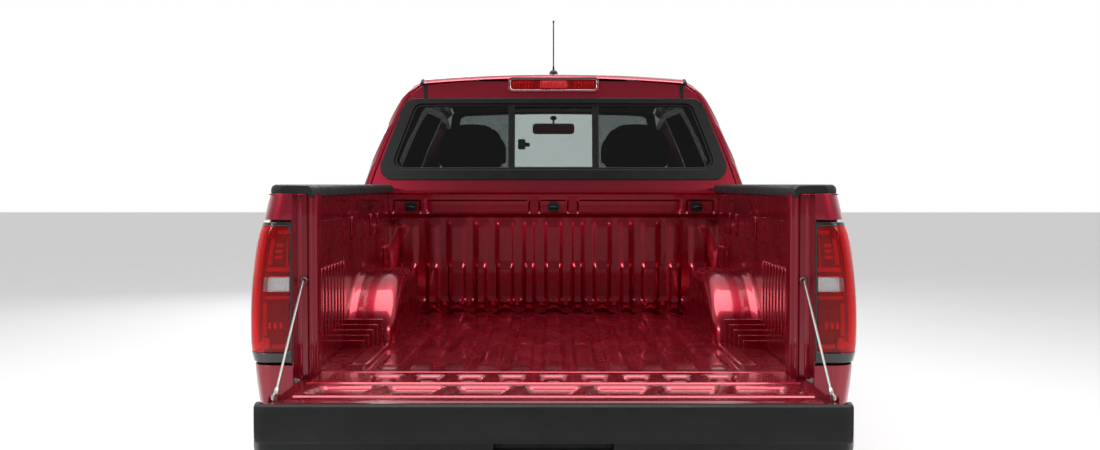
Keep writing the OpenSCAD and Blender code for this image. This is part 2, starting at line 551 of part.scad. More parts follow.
// ---- Tailgate, drawn let down: height h above its hinge becomes station s_hinge + h ---------------------
module tailgate() color("crimson") {
  half = gate_w / 2;
  // outer pan, with the thinner margins that the cables fold into
  block([s_hinge - hinge_up, s_hinge + gate_reach - 40], [-half, half], [z_hinge - gate_t + hinge_in, z_hinge + 6]);
  // raised inner panel with its stamped ribs
  difference() {
    block([s_hinge - hinge_up + 30, s_hinge + gate_reach - 40], [-opening_y + 8, opening_y - 8], [z_hinge + 5, z_hinge + hinge_in]);
    for (i = [-4:4]) block([s_hinge + 90, s_hinge + 200], [i * 148 - 50, i * 148 + 50], [z_hinge + 18, z_hinge + hinge_in + 1]);
    for (i = [-3:3]) block([s_hinge + 280, s_hinge + 400], [i * 190 - 75, i * 190 + 75], [z_hinge + 18, z_hinge + hinge_in + 1]);
  }
  both_sides() cylinder_y(s_hinge, [half - 1, lamp_y - 0.3], z_hinge, 9);
}
module tailgate_cap() color("black")
  block([s_hinge + gate_reach - 39.7, s_hinge + gate_reach], [-gate_w / 2, gate_w / 2],
    [z_hinge + hinge_in - gate_cap_t, z_hinge + hinge_in]);
cable_y = gate_w / 2 - 8;
cable_top = [s_floor_end + 8, 996];
cable_foot = [s_hinge + 330, z_hinge + 16];
module tailgate_cables() color("silver") both_sides() {
  rod(P(cable_top[0], cable_y, cable_top[1]), P(cable_foot[0], cable_y, cable_foot[1]), 3.5);
  cylinder_x([s_floor_end, s_floor_end + 14], cable_y, cable_top[1], 10);
  translate([X(cable_foot[0]), cable_y, z_hinge + 6]) cylinder(r = 8, h = 14);
}
module antenna() color("black") {
  base = roof_at(s_cab - 260 - 34, 0) + 0.3;
  translate([X(s_cab - 260), 0, base]) cylinder(r1 = 34, r2 = 16, h = 26);
  translate([X(s_cab - 260), 0, base + 20]) rotate([0, -4, 0]) cylinder(r = 3.5, h = 235);
}

// ---- Doors -----------------------------------------------------------------------------------------------
module door_layer(d, z1, deep0, deep1, inset) intersection() {
  cab_slab(s_door - 20, s_door_end + 20, door_bottom - 10, z1, deep0, deep1);
  through_side() intersection() {
    offset(delta = -inset) door_outline(d);
    square([6000, z1]);
  }
}
module door(d) color("crimson") difference() {
  union() {
    door_layer(d, roof_z - 80, 0, skin_t, 0);
    door_layer(d, roof_z - 80, skin_t - 1, door_skin_t, 12);
    door_layer(d, belt_z + 4, door_skin_t - 1, door_t, door_step + 12);
  }
  through_side() window_outline(d);
}
module door_glass(d) color("lightblue", 0.4) intersection() {
  cab_slab(s_door - 20, s_door_end + 20, belt_z, roof_z - 95, 14, 14 + glass_t);
  through_side() offset(delta = -0.5) window_outline(d);
}
mirror_s = s_door + 150;
module door_mirror() color("crimson") {
  translate([X(mirror_s), half_w + 105, 1290]) rotate([90, 0, 90]) hull() {
    translate([0, 0, -40]) linear_extrude(20) soft(36) square([190, 200], center = true);
    translate([0, 0, 20]) linear_extrude(45) soft(30) square([120, 130], center = true);
  }
  // arm to the door's outer skin
  block([mirror_s - 22, mirror_s + 26], [cab_side(mirror_s - 22, belt_z - 36) + 0.5, half_w + 60], [belt_z - 36, belt_z - 12]);
}

// ---- Cabin -------------------------------------------------------------------------------------------------
s_wheel = s_firewall + 470;
z_steer = 985;
steer_tilt = 25;
column_axis = [-cos(steer_tilt), 0, sin(steer_tilt)];
module dashboard() color("dimgray") {
  hull() {
    block([s_firewall + 30.3, s_firewall + 60], [-700, 700], [700, 1085]);
    block([s_firewall + 60, s_firewall + 330], [-700, 700], [960, 1040]);
    block([s_firewall + 60, s_firewall + 250], [-700, 700], [760, 800]);
  }
  // centre console
  block([s_firewall + 200, s_firewall + 1100], [-115, 115], [641, 830]);
  // steering column
  rod(P(s_wheel, 360, z_steer) - 270 * column_axis, P(s_wheel, 360, z_steer) - 24.5 * column_axis, 26);
}
module steering_wheel() color("black") translate([X(s_wheel), 360, z_steer]) rotate([0, -90 + steer_tilt, 0]) {
  rotate_extrude() translate([185, 0]) circle(r = 15);
  translate([0, 0, -24]) cylinder(r = 62, h = 40);
  for (a = [90, 180, 270]) rotate(a) translate([55, -19, -10]) cube([120, 38, 16]);
}
module padded_outline(points) soft(34) polygon(points);
module seat(y, w) {
  c = s_firewall + 620;
  through_side(y - w / 2, y + w / 2) {
    padded_outline([[c - 55, 706], [c - 60, 800], [c - 20, 822], [c + 470, 800], [c + 545, 770], [c + 500, 700]]);
    padded_outline([[c + 455, 745], [c + 470, 830], [c + 590, 1310], [c + 640, 1338], [c + 690, 1320], [c + 640, 900], [c + 560, 720]]);
  }
  through_side(y - head_w / 2, y + head_w / 2)
    padded_outline([[c + 612, 1376], [c + 622, 1530], [c + 660, 1556], [c + 712, 1540], [c + 722, 1390]]);
  for (dy = [-60, 60]) translate([X(c + 664), y + dy, 1310]) cylinder(r = 7, h = 90);
  block([c + 20, c + 440], [y - w / 2 + 60, y + w / 2 - 60], [cab_floor_z + floor_t, 720]);
}
head_w = 285;
module front_seats() color("dimgray") {
  seat(390, 520);
  seat(-390, 520);
}
s_bench = s_cab - 640;
module rear_seat() color("dimgray") {
  c = s_bench;
  through_side(-660, 660) {
    padded_outline([[c - 55, 700], [c - 60, 785], [c - 20, 806], [c + 430, 790], [c + 500, 740], [c + 470, 690]]);
    padded_outline([[c + 395, 740], [c + 470, 1270], [c + 510, 1296], [c + 545, 1290], [c + 545, 760], [c + 480, 720]]);
  }
  for (y = [-380, 380]) {
    through_side(y - head_w / 2, y + head_w / 2)
      padded_outline([[c + 440, 1338], [c + 446, 1500], [c + 480, 1522], [c + 530, 1505], [c + 542, 1345]]);
    for (dy = [-50, 50]) translate([X(c + 508), y + dy, 1280]) cylinder(r = 7, h = 80);
  }
  both_sides() block([c + 20, s_cab - 421], [tunnel_half + 31, 600], [cab_floor_z + floor_t, 710]);
}
shield_out = [0.64, 0, 0.768];
mirror_at = shield(0, 0.9) - 95 * shield_out;
module interior_mirror() color("black") {
  translate(mirror_at) hull() for (y = [-110, 110]) for (z = [-18, 18])
    translate([0, y, z]) sphere(r = 14, $fn = 16);
  rod(mirror_at, shield(0, 0.9) - [4, 0, 5] - 2.4 * shield_out, 8);
}

// ---- Machinery -----------------------------------------------------------------------------------------------
module powertrain() color("gray") {
  engine();
  driveline();
}
module engine() {
  block([430, s_cowl - 90], [-230, 230], [480, 900]);
  both_sides() block([600, 720], [229, rail_in], [500, 545]);
}
module driveline() {
  hull() {
    cylinder_x([s_cowl - 89.7, s_cowl - 60], 0, 500, 105);
    cylinder_x([s_cowl + 300, s_cowl + 330], 0, 490, 85);
  }
  hull() {
    cylinder_x([s_cowl + 320, s_cowl + 420], 0, gearbox_low + 95, 95);
    cylinder_x([s_cowl + 560, s_cowl + 640], 60, 440, 85);
  }
  rod(P(s_cowl + 600, 0, 470), P(s_ra - 141.5, 0, wheel_z + 12), 38);
}
kingpin_y = track / 2 - 62;
module front_suspension() color("dimgray") {
  both_sides() {
    hull() {
      cylinder_x([s_fa - 160, s_fa - 120], rail_in - 20, 350, 26);
      translate([X(s_fa), kingpin_y, 258]) cylinder(r = 20, h = 20);
      cylinder_x([s_fa + 150, s_fa + 190], rail_in - 20, 350, 26);
    }
    hull() {
      cylinder_x([s_fa - 85, s_fa - 55], rail_in + rail_w + 8, 590, 20);
      translate([X(s_fa), kingpin_y, 520]) cylinder(r = 20, h = 24);
      cylinder_x([s_fa + 55, s_fa + 85], rail_in + rail_w + 8, 590, 20);
    }
    // lower ball stud and the damper
    translate([X(s_fa), kingpin_y, 270]) cylinder(r = 14, h = 26);
    rod(P(s_fa + 20, rail_in + rail_w + 60, 360), P(s_fa, rail_in + rail_w + 35, 700), 32);
  }
  block([s_fa - 175, s_fa + 200], [-rail_in - 30, rail_in + 30], [330, 439.7]);
  // steering rack
  cylinder_y(s_fa - 190, [-300, 300], 400, 28);
}
module rear_suspension() color("dimgray") {
  rear_axle();
  rear_springs();
}
module rear_axle() {
  cylinder_y(s_ra, [-track / 2 + 100, track / 2 - 100], wheel_z, 44);
  translate([X(s_ra), 0, wheel_z]) sphere(r = 140);
  both_sides() cylinder_y(s_ra, [track / 2 - 101, track / 2 - 36.5], wheel_z, 60);
}
spring_y = rail_in + rail_w + 45;
module rear_springs() both_sides() {
  difference() {
    through_side(spring_y - 32, spring_y + 32) difference() {
      intersection() {
        translate([s_ra, wheel_z + 44.4 + 1900]) circle(r = 1900, $fn = 200);
        translate([s_ra - 640, 300]) square([1280, 250]);
      }
      translate([s_ra, wheel_z + 44.4 + 1950]) circle(r = 1900, $fn = 200);
    }
  }
  // shackles and eyes at both ends
  for (s = [s_ra - 620, s_ra + 600]) block([s, s + 40], [rail_in + rail_w, spring_y + 32], [s < s_ra ? 470 : 525, 575]);
  rod(P(s_ra + 30, spring_y + 60, wheel_z + 20), P(s_ra + 180, spring_y + 60, 600), 24);
}
module fuel_tank() color("black") block([s_mid - 100, s_cab - 60], [rail_in + rail_w + 0.3, 700], [300, 455]);
module exhaust() color("silver") {
  y = -(rail_in + rail_w + 105);
  cylinder_x([s_cowl + 150, s_mid + 60], y, 400, 28);
  hull() for (dy = [-40, 40]) cylinder_x([s_mid + 60, s_mid + 560], y + dy, 395, 62);
  rod(P(s_mid + 560, y, 400), P(s_cab + 60, y - 20, 415), 28);
  rod(P(s_cab + 45, y - 19, 406), P(s_ra - 440, y - 40, 500), 26);
  block([s_mid + 290, s_mid + 320], [y, -rail_in - rail_w], [400, 440]);
}
module spare_wheel() color("black") translate([X(s_ra + 620), 0, 330]) {
  rotate_extrude() polygon([[200, 0], [330, 0], [355, 40], [355, 130], [330, 170], [200, 170]]);
  translate([0, 0, 60]) cylinder(r = 201, h = 60);
  translate([0, 0, 119]) cylinder(r = 25, h = 95.7);
}

// ---- Wheels, drawn at the origin with the outside towards +Y -----------------------------------------------------
bead_r = rim_d / 2;
module tyre_shape() color("black") rotate([-90, 0, 0]) rotate_extrude($fn = 96) polygon([
  [bead_r, -tyre_w / 2 + 22], [bead_r + 14, -tyre_w / 2 + 6], [bead_r + 80, -tyre_w / 2], [wheel_z - 30, -tyre_w / 2 + 10],
  [wheel_z - 4, -tyre_w / 2 + 30], [wheel_z, -tyre_w / 2 + 60], [wheel_z, tyre_w / 2 - 60], [wheel_z - 4, tyre_w / 2 - 30],
  [wheel_z - 30, tyre_w / 2 - 10], [bead_r + 80, tyre_w / 2], [bead_r + 14, tyre_w / 2 - 6], [bead_r, tyre_w / 2 - 22]]);
spoke_count = 6;
module rim_shape() color("silver") rotate([-90, 0, 0]) {
  rotate_extrude($fn = 96) polygon([
    [bead_r - 0.3, -tyre_w / 2 + 18], [bead_r - 0.3, tyre_w / 2 - 18], [bead_r - 12, tyre_w / 2 - 12], [bead_r - 22, tyre_w / 2 - 24],
    [bead_r - 16, -tyre_w / 2 + 24]]);
  translate([0, 0, 10]) cylinder(r = 82, h = 62);
  for (i = [0:spoke_count - 1]) rotate(i * 360 / spoke_count) translate([70, -26, 44]) cube([bead_r - 87, 52, 36]);
  // brake disc and its bell
  translate([0, 0, -36]) cylinder(r = 152, h = 26);
  translate([0, 0, -11]) cylinder(r = 78, h = 22);
}
module wheel_place(s, side) translate([X(s), side * track / 2, wheel_z]) rotate([0, 0, side > 0 ? 0 : 180]) children();
module knuckle() color("gray") {
  y0 = track / 2 - 42;
  cylinder_y(s_fa, [kingpin_y - 20, track / 2 - 36.5], wheel_z, 60);
  translate([X(s_fa), kingpin_y, 296.3]) cylinder(r = 20, h = 223.4);
  // brake caliper
  block([s_fa + 95, s_fa + 175], [kingpin_y - 22, y0 - 1], [wheel_z - 60, wheel_z + 60]);
  block([s_fa + 20, s_fa + 100], [kingpin_y - 20, kingpin_y + 8], [wheel_z - 30, wheel_z + 30]);
}

frame_rails();
cab_floor();
cab_sides();
cab_back();
roof_panel();
cowl();
front_fenders();
front_bumper();
grille();
headlamps();
hood();
windshield();
rear_window();
bed_floor();
bed_sides();
bed_front_wall();
bed_rail_caps();
tail_lamps();
high_brake_lamp();
rear_bumper();
hitch_receiver();
tailgate();
tailgate_cap();
tailgate_cables();
antenna();
door(0);  // front_door_left
mirror([0, 1, 0]) door(0);  // front_door_right
door(1);  // rear_door_left
mirror([0, 1, 0]) door(1);  // rear_door_right
door_glass(0);  // front_glass_left
mirror([0, 1, 0]) door_glass(0);  // front_glass_right
door_glass(1);  // rear_glass_left
mirror([0, 1, 0]) door_glass(1);  // rear_glass_right
door_mirror();  // mirror_left
mirror([0, 1, 0]) door_mirror();  // mirror_right
dashboard();
steering_wheel();
front_seats();
rear_seat();
interior_mirror();
powertrain();
front_suspension();
rear_suspension();
fuel_tank();
exhaust();
spare_wheel();
knuckle();  // knuckle_left
mirror([0, 1, 0]) knuckle();  // knuckle_right
wheel_place(s_fa, 1) tyre_shape();  // tyre_front_left
wheel_place(s_fa, -1) tyre_shape();  // tyre_front_right
wheel_place(s_ra, 1) tyre_shape();  // tyre_rear_left
wheel_place(s_ra, -1) tyre_shape();  // tyre_rear_right
wheel_place(s_fa, 1) rim_shape();  // rim_front_left
wheel_place(s_fa, -1) rim_shape();  // rim_front_right
wheel_place(s_ra, 1) rim_shape();  // rim_rear_left
wheel_place(s_ra, -1) rim_shape();  // rim_rear_right
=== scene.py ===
"""Blender looks for the crew-cab pickup truck. Lengths in the shape code are millimetres."""
import json
import math

import bpy
import numpy as np
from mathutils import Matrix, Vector
from mathutils.geometry import delaunay_2d_cdt

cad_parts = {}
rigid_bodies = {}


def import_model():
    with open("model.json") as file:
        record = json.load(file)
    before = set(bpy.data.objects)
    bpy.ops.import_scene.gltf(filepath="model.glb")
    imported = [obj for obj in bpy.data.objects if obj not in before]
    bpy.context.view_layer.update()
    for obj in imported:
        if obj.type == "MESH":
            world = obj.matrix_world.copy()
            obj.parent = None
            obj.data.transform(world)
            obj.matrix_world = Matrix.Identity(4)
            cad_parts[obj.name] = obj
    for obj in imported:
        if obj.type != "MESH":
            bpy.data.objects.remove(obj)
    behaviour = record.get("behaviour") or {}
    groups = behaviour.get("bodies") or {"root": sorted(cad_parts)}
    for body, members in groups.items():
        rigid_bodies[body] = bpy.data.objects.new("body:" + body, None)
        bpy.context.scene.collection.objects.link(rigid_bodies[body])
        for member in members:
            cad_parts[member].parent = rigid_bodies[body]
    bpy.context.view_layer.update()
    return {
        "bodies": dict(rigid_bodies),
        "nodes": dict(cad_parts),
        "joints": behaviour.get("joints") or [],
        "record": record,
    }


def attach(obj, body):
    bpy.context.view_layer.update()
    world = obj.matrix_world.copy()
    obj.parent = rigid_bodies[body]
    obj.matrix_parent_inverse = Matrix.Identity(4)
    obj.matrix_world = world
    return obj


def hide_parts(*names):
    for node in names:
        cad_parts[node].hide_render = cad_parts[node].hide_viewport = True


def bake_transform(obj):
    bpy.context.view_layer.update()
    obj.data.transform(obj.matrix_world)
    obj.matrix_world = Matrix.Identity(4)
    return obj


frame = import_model()
LEFT, RIGHT = 1, -1
SIDES = ((LEFT, "left"), (RIGHT, "right"))

# ---- Sizes shared with the CAD model ---------------------------------------------------------------
TYRE_D, TYRE_W, TRACK = 762.0, 255.0, 1586.0
HALF_W, BELT_Z, BELT_HALF = 925.0, 1240.0, 872.0
ROOF_Z, ROCKER_Z = 1795.0, 400.0
S_FA = 945.0
S_RA = S_FA + 3258
S_TAIL = S_RA + 1067
S_BED = S_TAIL - 1680
S_CAB = S_BED - 30
S_COWL = S_FA + 385
S_DOOR = S_FA + 555
S_MID = S_DOOR + 1036
S_REAR_DOOR = S_MID + 8
S_DOOR_END = S_CAB - 222
S_PEAK, S_HEADER, S_FIREWALL = S_COWL + 1320, S_COWL + 705, S_FA + 465
WHEEL_Z, ARCH_R = TYRE_D / 2, 440.0
CANT_Z, CANT_HALF = ROOF_Z - 141, BELT_HALF - 168
DITCH_REF_Z, DITCH_Y = CANT_Z + 90, CANT_HALF - 104
K_LOW = (HALF_W - BELT_HALF) / (BELT_Z - 850) ** 2
LEAN = 0.30
K_MID = (168 - LEAN * 414) / 414 ** 2
LEAN_CANT = LEAN + 2 * K_MID * 414
K_TOP = (110 - LEAN_CANT * 90) / 90 ** 2
GAP = 8.0
FLOOR_Z, RAIL_Z, CAP_T = 715.0, 1275.0, 28.0
BED_TOP = RAIL_Z - CAP_T
S_HINGE, Z_HINGE = S_TAIL - 30, FLOOR_Z - 30
GATE_W, GATE_REACH, GATE_CAP = 1518.0, 521.0, 97.0
X_FRONT = (S_HINGE + GATE_REACH) / 2
WALL_Y, HOUSING_Y, OPENING_Y, LAMP_Y = 734.0, 563.5, 709.0, GATE_W / 2 + 12
S_BED_IN, S_POST, S_FLOOR_END = S_BED + 30, S_TAIL - 115, S_TAIL - 65
CORNER_R = 60.0


# ---- Surfaces, the same rules as the CAD model -----------------------------------------------------------
def lerp(a, b, t):
    return a + (b - a) * t


def pos(x):
    return np.maximum(x, 0.0)


def step(a, b, x):
    t = np.clip((np.asarray(x, float) - a) / (b - a), 0, 1)
    return t * t * (3 - 2 * t)


def points(s, y, z):
    s, y, z = np.broadcast_arrays(np.asarray(s, float), np.asarray(y, float), np.asarray(z, float))
    return np.stack([X_FRONT - s, y, z], axis=-1)


def roof_line(s):
    return ROOF_Z - 14 * (pos(s - S_PEAK) / 790) ** 2 - 55 * (pos(S_PEAK - s) / 570) ** 2


def roof_at(s, y):
    return roof_line(s) - 26 * (np.asarray(y, float) / 600) ** 2


def section_low(z):
    return HALF_W - K_LOW * (np.asarray(z, float) - 850) ** 2


def section_high(z):
    z = np.asarray(z, float)
    mid = BELT_HALF - LEAN * (z - BELT_Z) - K_MID * (z - BELT_Z) ** 2
    top = CANT_HALF - LEAN_CANT * (z - CANT_Z) - K_TOP * (z - CANT_Z) ** 2
    return np.where(z < CANT_Z, mid, top)


def nose(z):
    z = np.asarray(z, float)
    return 95 * (pos(z - 650) / 350) ** 1.6 + 80 * (pos(450 - z) / 130) ** 2


def nose_taper(s, z):
    t = np.clip((S_FA - s) / (S_FA - nose(z)), 0, 1)
    return np.clip(1 - t ** 5, 0, 1) ** 0.4


def bulge(s, z, s0):
    return 18 * np.exp(-((np.hypot(s - s0, z - WHEEL_Z) - ARCH_R) / 55) ** 2)


def flare(s, z):
    return np.where(z < WHEEL_Z - 60, 0, bulge(s, z, S_FA) + bulge(s, z, S_RA))


def low_side(s, z):
    return section_low(z) * nose_taper(s, z) - 25 * (pos(s - S_RA) / 1067) ** 2 + flare(s, z)


def cab_z(s, z):
    return BELT_Z + (z - BELT_Z) * (DITCH_REF_Z - BELT_Z) / (roof_at(s, DITCH_Y) - BELT_Z)


def cab_side(s, z):
    return np.where(z < BELT_Z, low_side(s, z), section_high(cab_z(s, z)))


def hood_line(s):
    return lerp(1000, 1140, 1 - ((S_COWL - s) / (S_COWL - 95)) ** 2)


def hood_edge(y):
    return 95 + 150 * (np.abs(y) / 750) ** 2.5


def hood_at(s, y):
    return hood_line(s) - 30 * (y / 700) ** 2 - 45 * np.clip((100 + hood_edge(y) - s) / 100, 0, 1) ** 2


def hood_half(s):
    return 692 - 200 * np.clip((560 - s) / 420, 0, 1) ** 2


def back_at(y, z):
    return S_CAB - 100 * pos(z - BELT_Z) / (ROOF_Z - BELT_Z) - 30 * (np.asarray(y, float) / 800) ** 2


def shield(u, v):
    s = lerp(S_COWL + 72 * u * u, S_HEADER + 52 * u * u, v) + 56 * v * (1 - v)
    z = lerp(1140 - 8 * u * u, roof_at(S_HEADER, 0) - 4 - 22 * u * u, v) + 56 * v * (1 - v)
    return points(s, u * lerp(742, 596, v), z)


def front_face(a, z):
    r = np.radians(a)
    return points(S_FA - (S_FA - nose(z)) * np.cos(r) ** 0.4, np.sign(a) * section_low(z) * np.abs(np.sin(r)) ** 0.8, z)


def bed_face(s, z):
    return points(s, low_side(s, z), z)


def tail_face(u, z):
    """The bed's side, then round the tail corner and in towards the tailgate. u is the distance along it."""
    u1 = S_TAIL - CORNER_R
    a = np.clip((u - u1) / CORNER_R, 0, math.pi / 2)
    w = low_side(np.minimum(u, u1), z)
    s = np.minimum(u, u1) + CORNER_R * np.sin(a)
    flat = (low_side(u1, z) - CORNER_R - LAMP_Y) / (low_side(u1, 950) - CORNER_R - LAMP_Y)
    return points(s, w - CORNER_R * (1 - np.cos(a)) - pos(u - u1 - CORNER_R * math.pi / 2) * flat, z)


def tail_inboard(z, y):
    return S_TAIL - CORNER_R + CORNER_R * math.pi / 2 + low_side(S_TAIL - CORNER_R, z) - CORNER_R - y


def back_face(z, y):
    return points(back_at(y, z), y, z)


def flat(axis, at, sign=1):
    """A flat face whose outside looks along +axis, or -axis where sign is -1."""
    if axis == "y":
        return (lambda u, v: points(u, at, v)) if sign > 0 else (lambda u, v: points(v, at, u))
    if axis == "z":
        return (lambda u, v: points(v, u, at)) if sign > 0 else (lambda u, v: points(u, v, at))
    return (lambda u, v: points(at, u, v)) if sign > 0 else (lambda u, v: points(at, v, u))


# ---- Outlines ------------------------------------------------------------------------------------------
def area(loop):
    x, y = loop[:, 0], loop[:, 1]
    return 0.5 * np.sum(x * np.roll(y, -1) - y * np.roll(x, -1))


def refine(loop, h):
    out = []
    for a, b in zip(loop, np.roll(loop, -1, axis=0)):
        n = max(1, int(math.ceil(np.hypot(*(b - a)) / h)))
        out += [a + (b - a) * k / n for k in range(n)]
    return np.array(out)


def rounded(pts, r, h=18.0):
    """The outline with each corner rounded to r, or to its own radius where r is a list."""
    pts = np.array(pts, float)
    n, out = len(pts), []
    radii = r if hasattr(r, "__len__") else [r] * n
    for i in range(n):
        p, a, b = pts[i], pts[i - 1], pts[(i + 1) % n]
        la, lb = np.hypot(*(a - p)), np.hypot(*(b - p))
        va, vb = (a - p) / la, (b - p) / lb
        half = math.acos(np.clip(va @ vb, -1, 1)) / 2
        t = min(radii[i] / max(math.tan(half), 1e-6), 0.47 * la, 0.47 * lb)
        rr = t * math.tan(half)
        if rr < 0.5 or half > 1.555:
            out.append(p)
            continue
        c = p + (va + vb) / np.hypot(*(va + vb)) * rr / math.sin(half)
        p0, p1 = p + va * t - c, p + vb * t - c
        a0 = math.atan2(p0[1], p0[0])
        turn = (math.atan2(p1[1], p1[0]) - a0 + math.pi) % (2 * math.pi) - math.pi
        k = max(2, int(math.ceil(abs(turn) / 0.28)))
        out += [c + rr * np.array([math.cos(a0 + turn * j / k), math.sin(a0 + turn * j / k)]) for j in range(k + 1)]
    return refine(np.array(out), h)


def rect(u0, u1, v0, v1, r=6.0, h=18.0):
    return rounded([[u0, v0], [u1, v0], [u1, v1], [u0, v1]], r, h)


def circle(u, v, r, n=48):
    a = np.linspace(0, 2 * math.pi, n, endpoint=False)
    return np.stack([u + r * np.cos(a), v + r * np.sin(a)], axis=1)


def lefts(loop):
    """Unit normals to the left of the loop, and how far each corner's offset stretches."""
    d = np.roll(loop, -1, axis=0) - loop
    d /= np.maximum(np.hypot(d[:, 0], d[:, 1]), 1e-9)[:, None]
    n2 = np.stack([-d[:, 1], d[:, 0]], axis=1)
    n1 = np.roll(n2, 1, axis=0)
    m = n1 + n2
    k = np.clip(1 + np.sum(n1 * n2, axis=1), 0.35, 2)
    return m / k[:, None]


def grow(loop, d):
    """The outline moved outwards by d."""
    loop = loop if area(loop) > 0 else loop[::-1]
    return loop - lefts(loop) * d


def inside(p, loops):
    hit = np.zeros(len(p), bool)
    for loop in loops:
        x, y = loop[:, 0], loop[:, 1]
        x2, y2 = np.roll(x, -1), np.roll(y, -1)
        for k in range(0, len(p), 4000):
            q = p[k:k + 4000]
            cross = (y > q[:, 1:2]) != (y2 > q[:, 1:2])
            with np.errstate(divide="ignore", invalid="ignore"):
                xi = (x2 - x) * (q[:, 1:2] - y) / (y2 - y) + x
            hit[k:k + 4000] ^= (np.sum(cross & (q[:, 0:1] < xi), axis=1) % 2).astype(bool)
    return hit


def merge(*loops):
    """The outline round several overlapping outlines."""
    pts = np.concatenate(loops)
    edges, k = [], 0
    for loop in loops:
        n = len(loop)
        edges += [(k + i, k + (i + 1) % n) for i in range(n)]
        k += n
    v, _, f, *_ = delaunay_2d_cdt([Vector(p) for p in pts], edges, [], 0, 1e-4)
    v = np.array([tuple(p) for p in v])
    f = np.array(f)
    mid = v[f].mean(axis=1)
    keep = np.zeros(len(f), bool)
    for loop in loops:
        keep |= inside(mid, [loop])
    count = {}
    for t in f[keep]:
        for a, b in ((t[0], t[1]), (t[1], t[2]), (t[2], t[0])):
            count[(a, b)] = count.get((a, b), 0) + 1
    nxt = {a: b for (a, b) in count if (b, a) not in count}
    start = max(nxt, key=lambda i: v[i][0])
    loop, i = [start], nxt[start]
    while i != start:
        loop.append(i)
        i = nxt[i]
    return v[loop]


# ---- Building blocks --------------------------------------------------------------------------------------
def face_normal(f, u, v, e=0.8):
    n = np.cross(f(u + e, v) - f(u - e, v), f(u, v + e) - f(u, v - e))
    return n / np.maximum(np.linalg.norm(n, axis=-1, keepdims=True), 1e-9)


def slab(f, outer, holes=(), d0=0.0, d1=10.0, h=40.0, r=2.5, seg=2):
    """A closed panel of the surface f between depths d0 and d1, with its edges rolled to radius r."""
    outer = refine(outer if area(outer) > 0 else outer[::-1], max(h, 12))
    loops = [outer] + [refine(q if area(q) < 0 else q[::-1], max(h, 12)) for q in holes]
    r = min(r, abs(d1 - d0) / 2 * 0.98)
    left = np.concatenate([lefts(q) for q in loops])
    base = np.concatenate(loops)
    rings, normals = [], []

    def ring(angle, depth, inset):
        p = base + left * inset
        n = face_normal(f, p[:, 0], p[:, 1])
        out = f(p[:, 0], p[:, 1]) - f(p[:, 0] + left[:, 0], p[:, 1] + left[:, 1])
        out -= n * np.sum(out * n, axis=1, keepdims=True)
        out /= np.maximum(np.linalg.norm(out, axis=1, keepdims=True), 1e-9)
        rings.append(f(p[:, 0], p[:, 1]) - n * depth)
        normals.append(n * math.cos(angle) + out * math.sin(angle))

    for k in range(seg + 1):
        a = math.pi / 2 * k / seg
        ring(a, d0 + r * (1 - math.cos(a)), r * (1 - math.sin(a)))
    for k in range(seg + 1):
        a = math.pi / 2 * (1 + k / seg)
        ring(a, d1 - r * (1 + math.cos(a)), r * (1 - math.sin(a)))
    faces, n, k0 = [], len(base), 0
    for q in loops:
        m = len(q)
        i = k0 + np.arange(m)
        j = k0 + (np.arange(m) + 1) % m
        for k in range(2 * seg + 1):
            faces += np.stack([k * n + i, (k + 1) * n + i, (k + 1) * n + j, k * n + j], axis=1).tolist()
        k0 += m
    ends = [q + lefts(q) * r for q in loops]
    lo, hi = ends[0].min(axis=0), ends[0].max(axis=0)
    gu = np.linspace(lo[0], hi[0], max(2, int((hi[0] - lo[0]) / h) + 1))
    gv = np.linspace(lo[1], hi[1], max(2, int((hi[1] - lo[1]) / h) + 1))
    grid = np.stack(np.meshgrid(gu, gv), axis=-1).reshape(-1, 2)
    grid = grid[inside(grid, ends)]
    rim = np.concatenate(ends)
    if len(grid):
        near = np.array([np.min(np.sum((rim - g) ** 2, axis=1)) for g in grid])
        grid = grid[near > (0.45 * h) ** 2]
    pts = np.concatenate([rim, grid]) if len(grid) else rim
    edges, k0 = [], 0
    for q in loops:
        m = len(q)
        edges += [(k0 + i, k0 + (i + 1) % m) for i in range(m)]
        k0 += m
    v2, _, tri, orig, *_ = delaunay_2d_cdt([Vector(p) for p in pts], edges, [], 0, 1e-5)
    v2 = np.array([tuple(p) for p in v2])
    tri = np.array(tri)
    tri = tri[inside(v2[tri].mean(axis=1), ends)]
    for end, (depth, flip) in enumerate(((d0, False), (d1, True))):
        start = sum(len(x) for x in rings)
        ring_at = 0 if end == 0 else (2 * seg + 1) * n
        nn = face_normal(f, v2[:, 0], v2[:, 1])
        rings.append(f(v2[:, 0], v2[:, 1]) - nn * depth)
        normals.append(-nn if flip else nn)
        index = [ring_at + o[0] if o and o[0] < n else start + k for k, o in enumerate(orig)]
        index = np.array(index)
        t = index[tri]
        faces += (t[:, ::-1] if flip else t).tolist()
    return np.concatenate(rings), faces, np.concatenate(normals)


def grid_face(f, us, vs, keep=None):
    """An open sheet of the surface f over a grid."""
    us, vs = np.asarray(us, float), np.asarray(vs, float)
    uu, vv = np.meshgrid(us, vs, indexing="ij")
    p = f(uu.ravel(), vv.ravel())
    n = face_normal(f, uu.ravel(), vv.ravel())
    i, j = np.meshgrid(np.arange(len(us) - 1), np.arange(len(vs) - 1), indexing="ij")
    a = (i * len(vs) + j).ravel()
    q = np.stack([a, a + len(vs), a + len(vs) + 1, a + 1], axis=1)
    if keep is not None:
        um, vm = (us[:-1] + us[1:]) / 2, (vs[:-1] + vs[1:]) / 2
        q = q[keep(um[i.ravel()], vm[j.ravel()])]
    return p, q.tolist(), n


